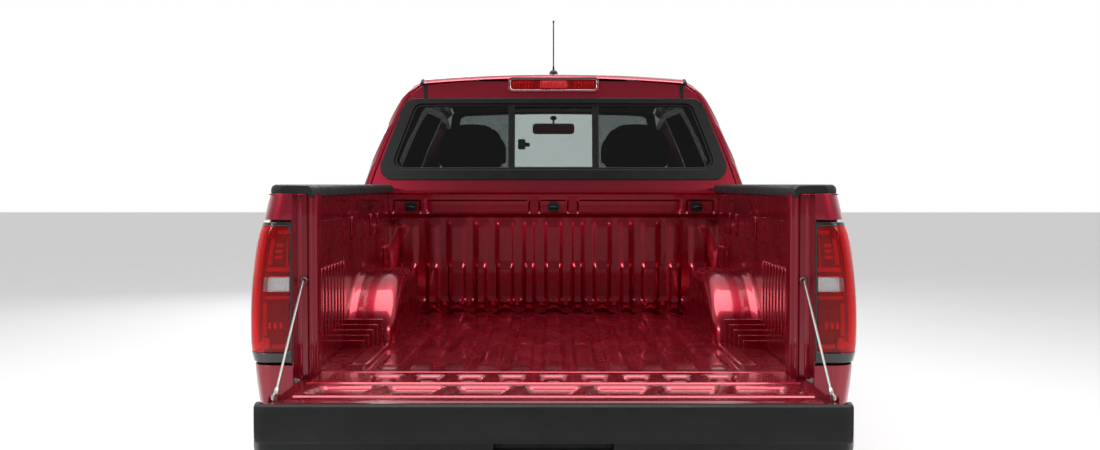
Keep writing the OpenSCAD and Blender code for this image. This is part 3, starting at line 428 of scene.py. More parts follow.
def lathe(profile, centre, axis="y", n=64, a0=0.0, a1=2 * math.pi):
    """A profile of (radius, height) turned round the axis. Normals come from Blender."""
    prof = np.array(profile, float)
    full = abs(a1 - a0 - 2 * math.pi) < 1e-6
    a = np.linspace(a0, a1, n, endpoint=not full)
    c, s = np.cos(a)[:, None], np.sin(a)[:, None]
    r, t = prof[:, 0][None], np.broadcast_to(prof[:, 1][None], (n, len(prof)))
    order = {"y": (r * s, t, r * c), "x": (t, r * c, r * s), "z": (r * c, r * s, t)}[axis]
    p = np.stack(order, axis=-1).reshape(-1, 3) + np.array(centre, float)
    m, faces = len(prof), []
    for i in range(n if full else n - 1):
        for j in range(m - 1):
            faces.append([i * m + j, ((i + 1) % n) * m + j, ((i + 1) % n) * m + j + 1, i * m + j + 1])
    return p, faces, None


def tube(path, r, n=10):
    """A round tube along a path, with its ends closed."""
    path = np.array(path, float)
    r = np.broadcast_to(np.asarray(r, float), (len(path),))
    t = np.gradient(path, axis=0)
    t /= np.maximum(np.linalg.norm(t, axis=1, keepdims=True), 1e-9)
    up = np.array([0, 0, 1.0]) if abs(t[0][2]) < 0.9 else np.array([0, 1.0, 0])
    pts, faces = [], []
    for p, d, q in zip(path, t, r):
        x = np.cross(up, d)
        x /= np.linalg.norm(x)
        y = np.cross(d, x)
        up = y
        a = np.linspace(0, 2 * math.pi, n, endpoint=False)[:, None]
        pts.append(p + q * (x * np.cos(a) + y * np.sin(a)))
    m = len(path)
    for k in range(m - 1):
        faces += [[k * n + i, k * n + (i + 1) % n, (k + 1) * n + (i + 1) % n, (k + 1) * n + i] for i in range(n)]
    faces += [list(range(n))[::-1], [(m - 1) * n + i for i in range(n)]]
    return np.concatenate(pts), faces, None


def block(s, y, z, r=4.0, corner=None):
    """A box between two corners, with rolled edges."""
    corner = r if corner is None else corner
    return slab(flat("z", z[1]), rect(y[0], y[1], s[0], s[1], corner, 400), d0=0, d1=z[1] - z[0], h=400, r=r, seg=2)


def mirrored(part):
    v, f, n = part
    v = v * np.array([1, -1, 1])
    return v, [q[::-1] for q in f], None if n is None else n * np.array([1, -1, 1])


def both(parts):
    return list(parts) + [mirrored(p) for p in parts]


def moved(part, dx=0.0, dy=0.0, dz=0.0):
    v, f, n = part
    return v + np.array([dx, dy, dz]), f, n


def piece(name, parts, material, body="body", replaces=(), slot=None, side=LEFT, angle=35.0):
    """One object from parts in millimetres. It rides on a body and may stand for CAD nodes."""
    verts, faces, normals, k, own = [], [], [], 0, False
    for v, f, n in parts:
        verts.append(v)
        faces += [[i + k for i in q] for q in f]
        normals.append(np.zeros_like(v) if n is None else n)
        own = own or n is not None
        k += len(v)
    v, n = np.concatenate(verts) * 0.001, np.concatenate(normals)
    if side == RIGHT:
        v, n = v * np.array([1, -1, 1]), n * np.array([1, -1, 1])
        faces = [q[::-1] for q in faces]
    me = bpy.data.meshes.new(name)
    me.from_pydata(v.tolist(), [], faces)
    me.validate(clean_customdata=False)
    me.shade_smooth()
    auto = not own or np.any(np.all(n == 0, axis=1))
    if auto:
        me.set_sharp_from_angle(angle=math.radians(angle))
    if own and len(me.vertices) == len(n):
        me.normals_split_custom_set_from_vertices(n.tolist())
    ob = bpy.data.objects.new(name, me)
    bpy.context.collection.objects.link(ob)
    me.materials.append(material)
    if body:
        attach(ob, body)
    if replaces:
        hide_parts(*([replaces] if isinstance(replaces, str) else replaces))
    return ob


def sheet(f, us, vs, t, keep=None):
    """A closed sheet of thickness t under the surface f over a grid, less the cells that keep leaves out."""
    v, faces, n = grid_face(f, us, vs, keep)
    m = len(v)
    edges = {}
    for q in faces:
        for a, b in zip(q, q[1:] + q[:1]):
            edges[(a, b)] = True
    sides = [[b, a, a + m, b + m] for a, b in edges if (b, a) not in edges]
    under = [[i + m for i in q[::-1]] for q in faces]
    used = np.zeros(2 * m, bool)
    every = faces + under + sides
    used[np.unique(np.concatenate([np.array(q) for q in every]))] = True
    index = np.cumsum(used) - 1
    pts = np.concatenate([v, v - n * t])[used]
    return pts, [[int(index[i]) for i in q] for q in every], None


def loft(sections, closed=True, caps=True):
    """Skin over a row of sections, each a loop of points with the same count."""
    s = np.array(sections, float)
    n, m = s.shape[:2]
    faces = []
    for k in range(n - 1):
        for i in range(m if closed else m - 1):
            j = (i + 1) % m
            faces.append([k * m + i, k * m + j, (k + 1) * m + j, (k + 1) * m + i])
    if caps and closed:
        faces += [list(range(m))[::-1], [(n - 1) * m + i for i in range(m)]]
    return s.reshape(-1, 3), faces, None


def ribbon(path, r=8.0):
    """The wall that stands on a plan path of (station, width) corners rounded to r. u is the length along it."""
    pts = np.array(path, float)
    out = [pts[0]]
    for a, p, b in zip(pts, pts[1:], pts[2:]):
        va, vb = (a - p) / np.hypot(*(a - p)), (b - p) / np.hypot(*(b - p))
        t = min(r, 0.45 * np.hypot(*(a - p)), 0.45 * np.hypot(*(b - p)))
        for k in np.linspace(0, 1, 7):
            out.append((1 - k) ** 2 * (p + va * t) + 2 * k * (1 - k) * p + k ** 2 * (p + vb * t))
    out = np.array(out + [pts[-1]])
    length = np.concatenate([[0], np.cumsum(np.hypot(*np.diff(out, axis=0).T))])
    face = lambda u, z: points(np.interp(u, length, out[:, 0]), np.interp(u, length, out[:, 1]), z)
    return face, length[-1]


def spread(*knots, h=20.0):
    """Knots from a list of stretches, with steps of about h between them."""
    out = []
    for a, b in zip(knots, knots[1:]):
        out += list(np.linspace(a, b, max(1, int(round((b - a) / h))) + 1)[:-1])
    return np.array(out + [knots[-1]])


def pad(x, a, b, soft=6.0):
    """1 between a and b, 0 outside, with soft shoulders."""
    return step(a - soft, a + soft, x) * (1 - step(b - soft, b + soft, x))


# ---- Materials ----------------------------------------------------------------------------------------
class Look:
    """A Principled material whose detail comes from nodes in the object's own coordinates (metres)."""

    def __init__(self, name, colour, rough=0.5, metal=0.0, **more):
        self.mat = bpy.data.materials.new(name)
        self.mat.use_nodes = True
        self.nodes, self.links = self.mat.node_tree.nodes, self.mat.node_tree.links
        self.shader = self.nodes["Principled BSDF"]
        self.where = self.nodes.new("ShaderNodeTexCoord").outputs["Object"]
        self.colour, self.normal, self.base = colour, None, None
        self.shader.inputs["Base Color"].default_value = (*colour, 1)
        self.shader.inputs["Roughness"].default_value = rough
        self.shader.inputs["Metallic"].default_value = metal
        names = {"coat": "Coat Weight", "coat_rough": "Coat Roughness", "ior": "IOR", "sheen": "Sheen Weight",
                 "sheen_rough": "Sheen Roughness", "clear": "Transmission Weight", "glow": "Emission Strength",
                 "specular": "Specular IOR Level", "aniso": "Anisotropic", "under": "Subsurface Weight"}
        for key, value in more.items():
            self.shader.inputs[names[key]].default_value = value
        if "glow" in more:
            self.shader.inputs["Emission Color"].default_value = (*colour, 1)

    def node(self, kind, **inputs):
        n = self.nodes.new("ShaderNode" + kind)
        for key, value in inputs.items():
            socket = n.inputs[key.replace("_", " ").title() if key.replace("_", " ").title() in n.inputs else key]
            if isinstance(value, bpy.types.NodeSocket):
                self.links.new(value, socket)
            else:
                socket.default_value = value
        return n

    def place(self, stretch):
        if stretch is None:
            return self.where
        return self.node("Mapping", Vector=self.where, Scale=stretch).outputs[0]

    def noise(self, scale, detail=3.0, stretch=None):
        return self.node("TexNoise", Vector=self.place(stretch), Scale=scale, Detail=detail).outputs[0]

    def cells(self, scale, stretch=None):
        return self.node("TexVoronoi", Vector=self.place(stretch), Scale=scale).outputs[0]

    def waves(self, scale, axis="X", warp=0.0, stretch=None):
        n = self.node("TexWave", Vector=self.place(stretch), Scale=scale, Distortion=warp)
        n.bands_direction = axis
        return n.outputs["Fac"] if "Fac" in n.outputs else n.outputs[1]

    def maths(self, op, a, b):
        n = self.node("Math")
        n.operation = op
        for socket, value in zip(n.inputs, (a, b)):
            if isinstance(value, bpy.types.NodeSocket):
                self.links.new(value, socket)
            else:
                socket.default_value = value
        return n.outputs[0]

    def span(self, fac, lo, hi, a=0.3, b=0.7):
        n = self.node("MapRange")
        self.links.new(fac, n.inputs[0])
        for k, value in enumerate((a, b, lo, hi)):
            n.inputs[k + 1].default_value = value
        return n.outputs[0]

    def bump(self, fac, depth, strength=1.0):
        n = self.node("Bump", Height=fac, Distance=depth, Strength=strength)
        if self.normal:
            self.links.new(self.normal, n.inputs["Normal"])
        self.normal = n.outputs[0]
        self.links.new(self.normal, self.shader.inputs["Normal"])
        return self

    def tint(self, fac, colour, a=0.35, b=0.7, amount=1.0):
        """Colour that comes in where fac goes from a to b."""
        n = self.node("Mix")
        n.data_type = "RGBA"
        self.links.new(self.span(fac, 0, amount, a, b), n.inputs[0])
        if self.base:
            self.links.new(self.base, n.inputs[6])
        else:
            n.inputs[6].default_value = (*self.colour, 1)
        n.inputs[7].default_value = (*colour, 1)
        self.base = n.outputs[2]
        self.links.new(self.base, self.shader.inputs["Base Color"])
        return self

    def rough(self, fac, lo, hi, a=0.3, b=0.7):
        self.links.new(self.span(fac, lo, hi, a, b), self.shader.inputs["Roughness"])
        return self

    def edges(self, colour, a=0.52, b=0.6, amount=0.5):
        """Worn edges, where the mesh is convex."""
        return self.tint(self.node("NewGeometry").outputs["Pointiness"], colour, a, b, amount)


def make_looks():
    looks = {}

    def add(name, *args, **more):
        looks[name] = Look(name, *args, **more)
        return looks[name]

    red = (0.27, 0.0005, 0.017)
    paint = add("cherry_paint", red, 0.3, 0.72, coat=1.0, coat_rough=0.02, ior=1.42)
    paint.tint(paint.cells(1500), (0.42, 0.008, 0.035), 0.1, 0.6, 0.35)
    paint.tint(paint.noise(1.4, 2), (0.19, 0.0006, 0.012), 0.35, 0.75, 0.4)
    paint.rough(paint.noise(900), 0.24, 0.36)
    paint.bump(paint.noise(260, 2), 0.00004, 0.12)
    inner = add("bed_paint", (0.28, 0.0003, 0.014), 0.3, 0.82, coat=0.55, coat_rough=0.05)
    inner.tint(inner.cells(1500), (0.40, 0.008, 0.032), 0.1, 0.6, 0.3)
    inner.tint(inner.noise(3.2, 6), (0.15, 0.0006, 0.010), 0.5, 0.8, 0.45)
    inner.rough(inner.noise(7, 8), 0.2, 0.34)
    inner.bump(inner.noise(90, 3), 0.0001, 0.08)
    grain = add("grained_plastic", (0.009, 0.0095, 0.010), 0.55, specular=0.22)
    grain.bump(grain.cells(700), 0.0004, 0.55)
    grain.tint(grain.noise(5, 5), (0.016, 0.0165, 0.0175), 0.4, 0.75, 0.6)
    grain.rough(grain.noise(14, 5), 0.45, 0.66)
    grain.edges((0.035, 0.035, 0.038), 0.53, 0.62, 0.45)
    smooth = add("gloss_black", (0.008, 0.008, 0.009), 0.12, coat=0.8, coat_rough=0.03)
    smooth.rough(smooth.noise(30, 4), 0.08, 0.17)
    satin = add("satin_black", (0.007, 0.007, 0.0075), 0.4, specular=0.3)
    satin.rough(satin.noise(40, 5), 0.32, 0.5)
    satin.bump(satin.noise(420, 3), 0.0001, 0.25)
    seal = add("seal_rubber", (0.012, 0.012, 0.012), 0.6)
    seal.bump(seal.noise(500, 2), 0.0002, 0.4)
    seal.rough(seal.noise(60, 4), 0.5, 0.72)
    frame_black = add("frame_black", (0.016, 0.016, 0.017), 0.48, 0.1)
    frame_black.bump(frame_black.noise(160, 5), 0.0005, 0.35)
    frame_black.tint(frame_black.noise(9, 6), (0.05, 0.042, 0.035), 0.55, 0.8, 0.45)
    frame_black.rough(frame_black.noise(18, 6), 0.38, 0.62)
    frame_black.edges((0.09, 0.085, 0.08), 0.53, 0.62, 0.5)
    cast = add("cast_metal", (0.13, 0.13, 0.128), 0.55, 0.85)
    cast.bump(cast.noise(220, 6), 0.0009, 0.5)
    cast.tint(cast.noise(7, 8), (0.10, 0.075, 0.055), 0.5, 0.8, 0.5)
    cast.rough(cast.noise(25, 6), 0.42, 0.7)
    steel = add("brushed_steel", (0.44, 0.43, 0.41), 0.34, 0.95)
    steel.bump(steel.noise(60, 4, (1, 12, 12)), 0.0002, 0.25)
    steel.rough(steel.noise(12, 6), 0.26, 0.46)
    steel.tint(steel.noise(5, 5), (0.30, 0.27, 0.23), 0.5, 0.8, 0.5)
    cable = add("strap_steel", (0.42, 0.42, 0.41), 0.36, 0.9)
    cable.bump(cable.waves(210, "Z", 0.4), 0.0004, 0.5)
    cable.rough(cable.noise(80, 3), 0.28, 0.46)
    chrome = add("bright_metal", (0.72, 0.72, 0.73), 0.12, 1.0)
    chrome.rough(chrome.noise(35, 4), 0.07, 0.18)
    mirror = add("mirror_glass", (0.78, 0.8, 0.81), 0.02, 1.0)
    mirror.rough(mirror.noise(20, 3), 0.015, 0.03)
    alloy = add("painted_alloy", (0.26, 0.265, 0.275), 0.3, 0.85, coat=0.6, coat_rough=0.08)
    alloy.rough(alloy.noise(60, 5), 0.25, 0.38)
    alloy.bump(alloy.noise(500, 2), 0.00008, 0.2)
    rubber = add("tyre_rubber", (0.018, 0.018, 0.018), 0.72)
    rubber.bump(rubber.noise(380, 4), 0.0005, 0.4)
    rubber.tint(rubber.noise(6, 6), (0.045, 0.042, 0.038), 0.45, 0.8, 0.6)
    rubber.rough(rubber.noise(22, 6), 0.62, 0.86)
    carpet = add("loop_carpet", (0.022, 0.022, 0.024), 0.95, sheen=0.25, sheen_rough=0.5)
    carpet.bump(carpet.cells(420), 0.0022, 0.9)
    carpet.tint(carpet.noise(300, 2), (0.05, 0.05, 0.052), 0.45, 0.75, 0.8)
    cloth = add("seat_cloth", (0.028, 0.028, 0.031), 0.88, sheen=0.35, sheen_rough=0.4)
    weave = cloth.maths("MAXIMUM", cloth.waves(190, "Y", 0.15), cloth.waves(190, "DIAGONAL", 0.15))
    cloth.bump(weave, 0.0006, 0.7)
    cloth.tint(weave, (0.06, 0.06, 0.065), 0.4, 0.95, 0.6)
    cloth.tint(cloth.noise(4, 4), (0.018, 0.018, 0.02), 0.45, 0.7, 0.5)
    ribbed = add("seat_insert", (0.045, 0.045, 0.049), 0.85, sheen=0.3, sheen_rough=0.4)
    ribbed.bump(ribbed.waves(110, "Y", 0.1), 0.0011, 0.8)
    ribbed.tint(ribbed.waves(110, "Y", 0.1), (0.085, 0.085, 0.09), 0.5, 0.95, 0.55)
    dash = add("soft_plastic", (0.024, 0.024, 0.026), 0.62)
    dash.bump(dash.cells(560), 0.0005, 0.5)
    dash.rough(dash.noise(18, 4), 0.54, 0.72)
    trim = add("grey_trim", (0.20, 0.195, 0.185), 0.75)
    trim.bump(trim.noise(650, 3), 0.0004, 0.5)
    trim.rough(trim.noise(20, 4), 0.66, 0.84)
    clear = add("clear_glass", (0.93, 0.96, 0.95), 0.0, clear=1.0, ior=1.45)
    clear.rough(clear.noise(6, 4), 0.0, 0.012, 0.4, 0.8)
    dark = add("privacy_glass", (0.10, 0.115, 0.115), 0.0, clear=1.0, ior=1.45)
    dark.rough(dark.noise(6, 4), 0.0, 0.012, 0.4, 0.8)
    tinted = add("tinted_glass", (0.42, 0.47, 0.46), 0.0, clear=1.0, ior=1.45)
    tinted.rough(tinted.noise(6, 4), 0.0, 0.012, 0.4, 0.8)
    lens = add("red_lens", (0.92, 0.012, 0.02), 0.03, clear=0.9, ior=1.4)
    lens.bump(lens.waves(120, "Z", 0.0), 0.0002, 0.08)
    lens.rough(lens.noise(20, 3), 0.02, 0.05)
    clear_lens = add("clear_lens", (0.96, 0.97, 0.97), 0.02, clear=0.95, ior=1.49)
    clear_lens.rough(clear_lens.noise(20, 3), 0.01, 0.04)
    lamp = add("red_reflector", (0.62, 0.003, 0.010), 0.2, 0.1, coat=0.7, glow=0.05)
    lamp.bump(lamp.cells(220), 0.0007, 0.4)
    lamp.tint(lamp.noise(25, 3), (0.5, 0.003, 0.005), 0.4, 0.7, 0.5)
    deep = add("maroon_cavity", (0.05, 0.0005, 0.003), 0.3, 0.1, coat=0.5)
    deep.bump(deep.cells(150), 0.0006, 0.4)
    deep.rough(deep.noise(30, 3), 0.22, 0.38)
    bright = add("bright_reflector", (0.85, 0.86, 0.87), 0.14, 0.9)
    bright.bump(bright.cells(180), 0.0012, 0.45)
    bright.rough(bright.noise(30, 3), 0.1, 0.22)
    amber = add("amber_reflector", (0.85, 0.24, 0.01), 0.2, 0.1, coat=0.6)
    amber.bump(amber.cells(260), 0.0008, 0.4)
    screen = add("dark_screen", (0.006, 0.007, 0.009), 0.08, coat=0.6)
    screen.rough(screen.noise(25, 3), 0.05, 0.12)
    return {k: v.mat for k, v in looks.items()}


M = make_looks()
CAD_LOOKS = {
    "frame_black": "frame_black", "carpet": "loop_carpet", "body_paint": "cherry_paint", "black_plastic": "grained_plastic",
    "gloss_black": "gloss_black", "lamp_clear": "clear_lens", "lamp_red": "red_reflector", "glass": "clear_glass",
    "dark_glass": "privacy_glass", "steel_cable": "strap_steel", "steel": "brushed_steel", "cast_iron": "cast_metal",
    "alloy": "painted_alloy", "tyre": "tyre_rubber", "seat_cloth": "seat_cloth", "dash_plastic": "soft_plastic"}


# ---- Load bed ---------------------------------------------------------------------------------------------
def arc(s, z, r, a0, a1, n=40):
    """Points (station, height) on a circle, with the angle measured from straight up towards the tail."""
    a = np.radians(np.linspace(a0, a1, n))
    return [[s + r * math.sin(k), z + r * math.cos(k)] for k in a]


LAMP_Z0, LAMP_Z1 = 745.0, 1165.0


def lamp_outline(gap):
    """The tail lamp's edge on the wrapped side, from the body side round the corner to beside the tailgate."""
    inner = tail_inboard(950, LAMP_Y) - 1
    pts = [[S_TAIL - 175, LAMP_Z0], [inner + 60, LAMP_Z0], [inner + 60, LAMP_Z1], [S_TAIL - 150, LAMP_Z1]]
    loop = grow(rounded(pts, [45, 5, 5, 45]), gap)
    loop[:, 0] = np.minimum(loop[:, 0], inner + gap)
    return loop


def bed_outside():
    inner = tail_inboard(950, LAMP_Y) - 1
    foot = 520
    a = math.degrees(math.acos((foot - WHEEL_Z) / ARCH_R))
    lip = ARCH_R + 4
    low = rounded([[S_BED + 1, foot], *arc(S_RA, WHEEL_Z, lip, -a, a, 48), [S_TAIL - 100, foot], [S_TAIL - 40, 560],
                   [inner, 560], [inner, LAMP_Z0 - 6], [S_TAIL - 181, LAMP_Z0 - 6], [S_TAIL - 156, LAMP_Z1 + 6],
                   [inner, LAMP_Z1 + 6], [inner, BED_TOP + 1], [S_BED + 1, BED_TOP + 1]],
                  [12] + [0.1] * 48 + [30, 10, 4, 8, 45, 45, 8, 4, 10])
    skin = slab(tail_face, low, d0=0, d1=3, h=34, r=1.4, seg=2)
    lip_in = loft([[(X_FRONT - (S_RA + (lip + 1 - q) * math.sin(k)), low_side(S_RA + lip * math.sin(k), WHEEL_Z + lip * math.cos(k)) - d,
                     WHEEL_Z + (lip + 1 - q) * math.cos(k)) for q, d in ((0, 1), (7, 1.5), (9, 4), (8, 24), (2, 24), (1, 4))]
                   for k in np.radians(np.linspace(-a, a, 60))])
    return [skin, lip_in]


def jamb():
    """The flange beside the tailgate, with its two rolled seams."""
    path = [(S_TAIL - 3, LAMP_Y + 0.5), (S_POST + 52, LAMP_Y), (S_POST + 50, OPENING_Y + 2), (S_POST, OPENING_Y),
            (S_POST - 4, WALL_Y + 2)]
    face, length = ribbon(path, 9)
    base = length - 62 - 25

    def stamped(u, z):
        seam = 3.2 * (pad(u, base - 44, base - 34, 3) + pad(u, base - 12, base - 2, 3)) * step(640, 700, z)
        n = face_normal(face, u, z)
        return face(u, z) + n * seam[..., None]
    us = spread(0, base - 52, base + 4, length, h=2.2)
    return [sheet(stamped, us, spread(565, 700, 1200, BED_TOP, h=26), 2.5)]


def housing_side(d, n=52):
    """The wheel housing's outline in side view at depth d inside it, from front foot to rear foot."""
    half, r, top = 420 - d, 580 - d, 945 - d
    pts = [[S_RA - half, 690]]
    a0 = math.asin(min(half / r, 1))
    arc_z = WHEEL_Z + r * math.cos(a0)
    k = math.acos(min(1, (top - WHEEL_Z) / r))
    pts += [[S_RA - half, arc_z]] + arc(S_RA, WHEEL_Z, r, -math.degrees(a0), -math.degrees(k), 7)[1:]
    pts += arc(S_RA, WHEEL_Z, r, math.degrees(k), math.degrees(a0), 7) + [[S_RA + half, 690]]
    pts = np.array(pts)
    length = np.concatenate([[0], np.cumsum(np.hypot(*np.diff(pts, axis=0).T))])
    u = np.linspace(0, length[-1], n)
    return np.stack([np.interp(u, length, pts[:, 0]), np.interp(u, length, pts[:, 1])], axis=1)


def smooth_row(a, times):
    for _ in range(times):
        a[1:-1] = (a[:-2] + 2 * a[1:-1] + a[2:]) / 4
    return a


def housing():
    """Stamped wheel housing: a rounded shell from the wall in to the gap between the housings."""
    roll, rows = 42.0, []
    flare_foot = [(WALL_Y + 3, -14), (WALL_Y - 8, -8), (WALL_Y - 20, -1)]
    for y, d in flare_foot + [(y, 0) for y in np.linspace(WALL_Y - 30, HOUSING_Y + roll, 9)]:
        rows.append((y, d))
    for a in np.linspace(0, math.pi / 2, 9)[1:]:
        rows.append((HOUSING_Y + roll * (1 - math.sin(a)), roll * (1 - math.cos(a))))
    out = []
    for y, d in rows:
        line = smooth_row(housing_side(d), 5)
        line[0, 1] = line[-1, 1] = 690
        out.append(points(line[:, 0], y, line[:, 1]))
    last = out[-1]
    for t in np.linspace(0, 1, 8)[1:]:
        z = last[:, 2] * (1 - t) + 690 * t
        band = 5 * pad(t, 0.35, 0.75, 0.1) * pad(last[:, 0], X_FRONT - S_RA - 250, X_FRONT - S_RA + 250, 30)
        out.append(np.stack([last[:, 0], last[:, 1] + band, z], axis=1))
    outer = np.array(out)
    n = len(outer)
    grid = outer.reshape(-1, 3)
    m = outer.shape[1]
    faces = [[i * m + j, i * m + j + 1, (i + 1) * m + j + 1, (i + 1) * m + j] for i in range(n - 1) for j in range(m - 1)]
    return [(grid, faces, None)]


def gusset(at, side):
    """Steps pressed into the foot of the housing where it meets the floor."""
    parts = []
    for k in range(5):
        s = at + side * (10 + 13 * k)
        parts.append(block((min(s, s + side * 9), max(s, s + side * 9)), (HOUSING_Y + 40 + 14 * k, WALL_Y + 2), (700, 800 - 17 * k), 4))
    return parts


def bed_walls():
    wall_at = flat("y", WALL_Y, -1)
    outline = rect(688, BED_TOP + 1, S_BED_IN - 6, S_POST + 6, 6, 30)
    parts = [slab(wall_at, outline, [], 0, 3, 60, 1.4)]
    for s in np.arange(S_RA + 470, S_POST - 60, 52):
        parts.append(slab(wall_at, rect(790, 1010, s, s + 26, 12), [], -7, 1, 60, 6.5))
    for s in np.arange(S_BED_IN + 20, S_RA - 440, 52):
        parts.append(slab(wall_at, rect(790, 1010, s, s + 26, 12), [], -7, 1, 60, 6.5))
    for s0, s1 in ((S_BED_IN + 30, S_BED_IN + 330), (S_BED_IN + 370, S_RA - 90), (S_RA - 50, S_RA + 330), (S_RA + 370, S_POST - 50)):
        parts.append(slab(wall_at, rect(1070, 1160, s0, s1, 20), [], -6, 1, 80, 5.5))
        parts.append(slab(wall_at, rect(1092, 1138, s0 + 26, s1 - 26, 14), [], -2, 0.5, 80, 1.5))
    parts.append(sheet(lambda u, s: points(s, WALL_Y - 2 + u * bed_in(s), BED_TOP), np.linspace(0, 1, 3),
            spread(S_BED + 2, S_TAIL - 12, h=60), 3))
    return parts


def bed_in(s):
    return low_side(s, BED_TOP) - 4 - WALL_Y + 2


def tie_down(s, y, z):
    """A black anchor loop in its cup."""
    cup = slab(flat("x", s, -1), rect(z - 22, z + 22, y - 26, y + 26, 18), [], -3, 1, 60, 2.5)
    bar = tube([(X_FRONT - s - 3, y - 17, z - 8), (X_FRONT - s - 12, y - 17, z - 4), (X_FRONT - s - 14, y, z),
            (X_FRONT - s - 12, y + 17, z - 4),
                (X_FRONT - s - 3, y + 17, z - 8)], 4.5, 10)
    return [cup, bar]


def front_wall():
    """Stamped wall behind the cab with its crossbar."""
    def stamped(z, y):
        low = step(700, 735, z) * (1 - step(1095, 1120, z))
        pitch = 108.0
        k = np.abs((y / pitch) - np.round(y / pitch)) * pitch
        wide = np.where(np.round(y / pitch) % 2 == 0, 34, 22)
        rib = 13 * (1 - step(wide - 6, wide + 6, k)) * low
        rib = rib * (1 - 0.55 * step(905, 925, z) * (1 - step(1000, 1100, z) * 0))
        blocks = 8 * pad(z, 742, 762, 4) * pad(np.abs((y / 54.0) - np.round(y / 54.0)) * 54, -1, 17, 4)
        corner = 26 * step(0, 60, np.abs(y) - 640 - 0.35 * (1090 - z) * (z < 1090)) * low
        bar = 18 * step(1128, 1140, z)
        seg = pad(np.abs(y), -1, 62, 5) + pad(np.abs(y), 108, 560, 5) + pad(np.abs(y), 592, 712, 5)
        panel = -11 * pad(z, 1150, 1204, 5) * np.clip(seg, 0, 1)
        lip = 5 * pad(z, 1140, 1147, 2.5) + 4 * pad(z, 1238, 1246, 3)
        return points(S_BED + 12 + rib + blocks + bar + panel + lip + corner * 0.6, y, z)
    zs = spread(686, 770, 900, 930, 1100, 1136, 1155, 1200, 1216, 1248, h=9)
    ys = spread(-WALL_Y + 1, WALL_Y - 1, h=9)
    return [sheet(stamped, zs, ys, 3)]


def bed_floor():
    pitch = (2 * WALL_Y - 150) / 13

    def ribbed(y, s):
        k = np.abs(y / pitch - np.round(y / pitch)) * pitch
        inside_ends = step(S_BED_IN + 34, S_BED_IN + 58, s) * (1 - step(S_FLOOR_END - 70, S_FLOOR_END - 46, s))
        rib = 9 * (1 - step(27, 36, k)) * inside_ends * (np.abs(y) < 6.6 * pitch)
        cross = -4 * (1 - step(27, 36, k)) * inside_ends * sum(pad(s, c - 12, c + 12, 6) for c in (S_RA - 530, S_RA - 65, S_RA + 475))
        return points(s, y, FLOOR_Z - 9 + rib + cross)
    ys = spread(-WALL_Y + 1, WALL_Y - 1, h=6.5)
    ss = spread(S_BED_IN - 10, S_BED_IN + 70, S_RA - 560, S_RA - 500, S_RA - 95, S_RA - 35, S_RA + 445, S_RA + 505, S_FLOOR_END - 85,
            S_FLOOR_END, h=32)
    open_cell = lambda y, s: ~((np.abs(y) > HOUSING_Y + 6) & (np.abs(s - S_RA) < 398)) & ~((np.abs(y) > OPENING_Y) & (s > S_POST))
    parts = [sheet(ribbed, ys, ss, 3, open_cell)]
    for s in (S_BED_IN + 60, S_RA - 560, S_RA - 100, S_RA + 440, S_FLOOR_END - 90):
        parts.append(block((s, s + 70), (-HOUSING_Y + 10, HOUSING_Y - 10), (640, FLOOR_Z - 12), 5))
    return parts


def rail_cap():
    rows = []
    for s in spread(S_BED + 4, S_TAIL - 90, S_TAIL - 12, h=16):
        tail_in = 34 * pos((s - (S_TAIL - 62)) / 50) ** 2
        w = float(low_side(s, 1255)) + 2 - tail_in
        inner = OPENING_Y + 5
        prof = [(w - 1, 1245), (w + 0.5, 1252), (w, 1262), (w - 4, 1270), (w - 12, 1274.5), (w - 40, 1275), (inner + 50, 1275),
                (inner + 14, 1274), (inner + 5, 1270), (inner, 1262), (inner, 1240), (inner + 4, 1237), (inner + 10, 1238),
                        (inner + 14, 1248), (w - 8, 1248)]
        drop = 3.5 * step(S_TAIL - 40, S_TAIL - 12, s)
        rows.append([(X_FRONT - s, y, z - drop if z > 1260 else z) for y, z in prof])
    return [loft(rows)]


def build_bed():
    for side, name in SIDES:
        wear = {"side": side}
        piece(f"bed_side_outer_{name}", bed_outside(), M["cherry_paint"], replaces="bed_sides" if side == LEFT else (), slot="body_paint",
                **wear)
        piece(f"bed_jamb_{name}", jamb(), M["cherry_paint"], slot="body_paint", **wear)
        piece(f"bed_wall_{name}", bed_walls(), M["bed_paint"], slot="body_paint", **wear)
        shell = piece(f"wheel_housing_{name}", housing(), M["bed_paint"], slot="body_paint", **wear)
        thicken(shell, 0.004)
        piece(f"housing_steps_{name}", gusset(S_RA + 418, 1) + gusset(S_RA - 418, -1), M["bed_paint"], slot="body_paint", **wear)
        piece(f"rail_cap_{name}", rail_cap(), M["grained_plastic"], replaces="bed_rail_caps" if side == LEFT else (),
                slot="black_plastic", **wear)
    piece("bed_floor_panel", bed_floor(), M["bed_paint"], replaces="bed_floor", slot="body_paint")
    piece("bed_front_panel", front_wall(), M["bed_paint"], replaces="bed_front_wall", slot="body_paint")
    hooks = [tie_down(S_BED + 36, y, 1176) for y in (-634, 0, 634)]
    piece("bed_tie_downs", sum(hooks, []), M["satin_black"], slot="black_plastic")


def thicken(ob, t, inward=True):
    m = ob.modifiers.new("thickness", "SOLIDIFY")
    m.thickness, m.offset = t, -1 if inward else 1


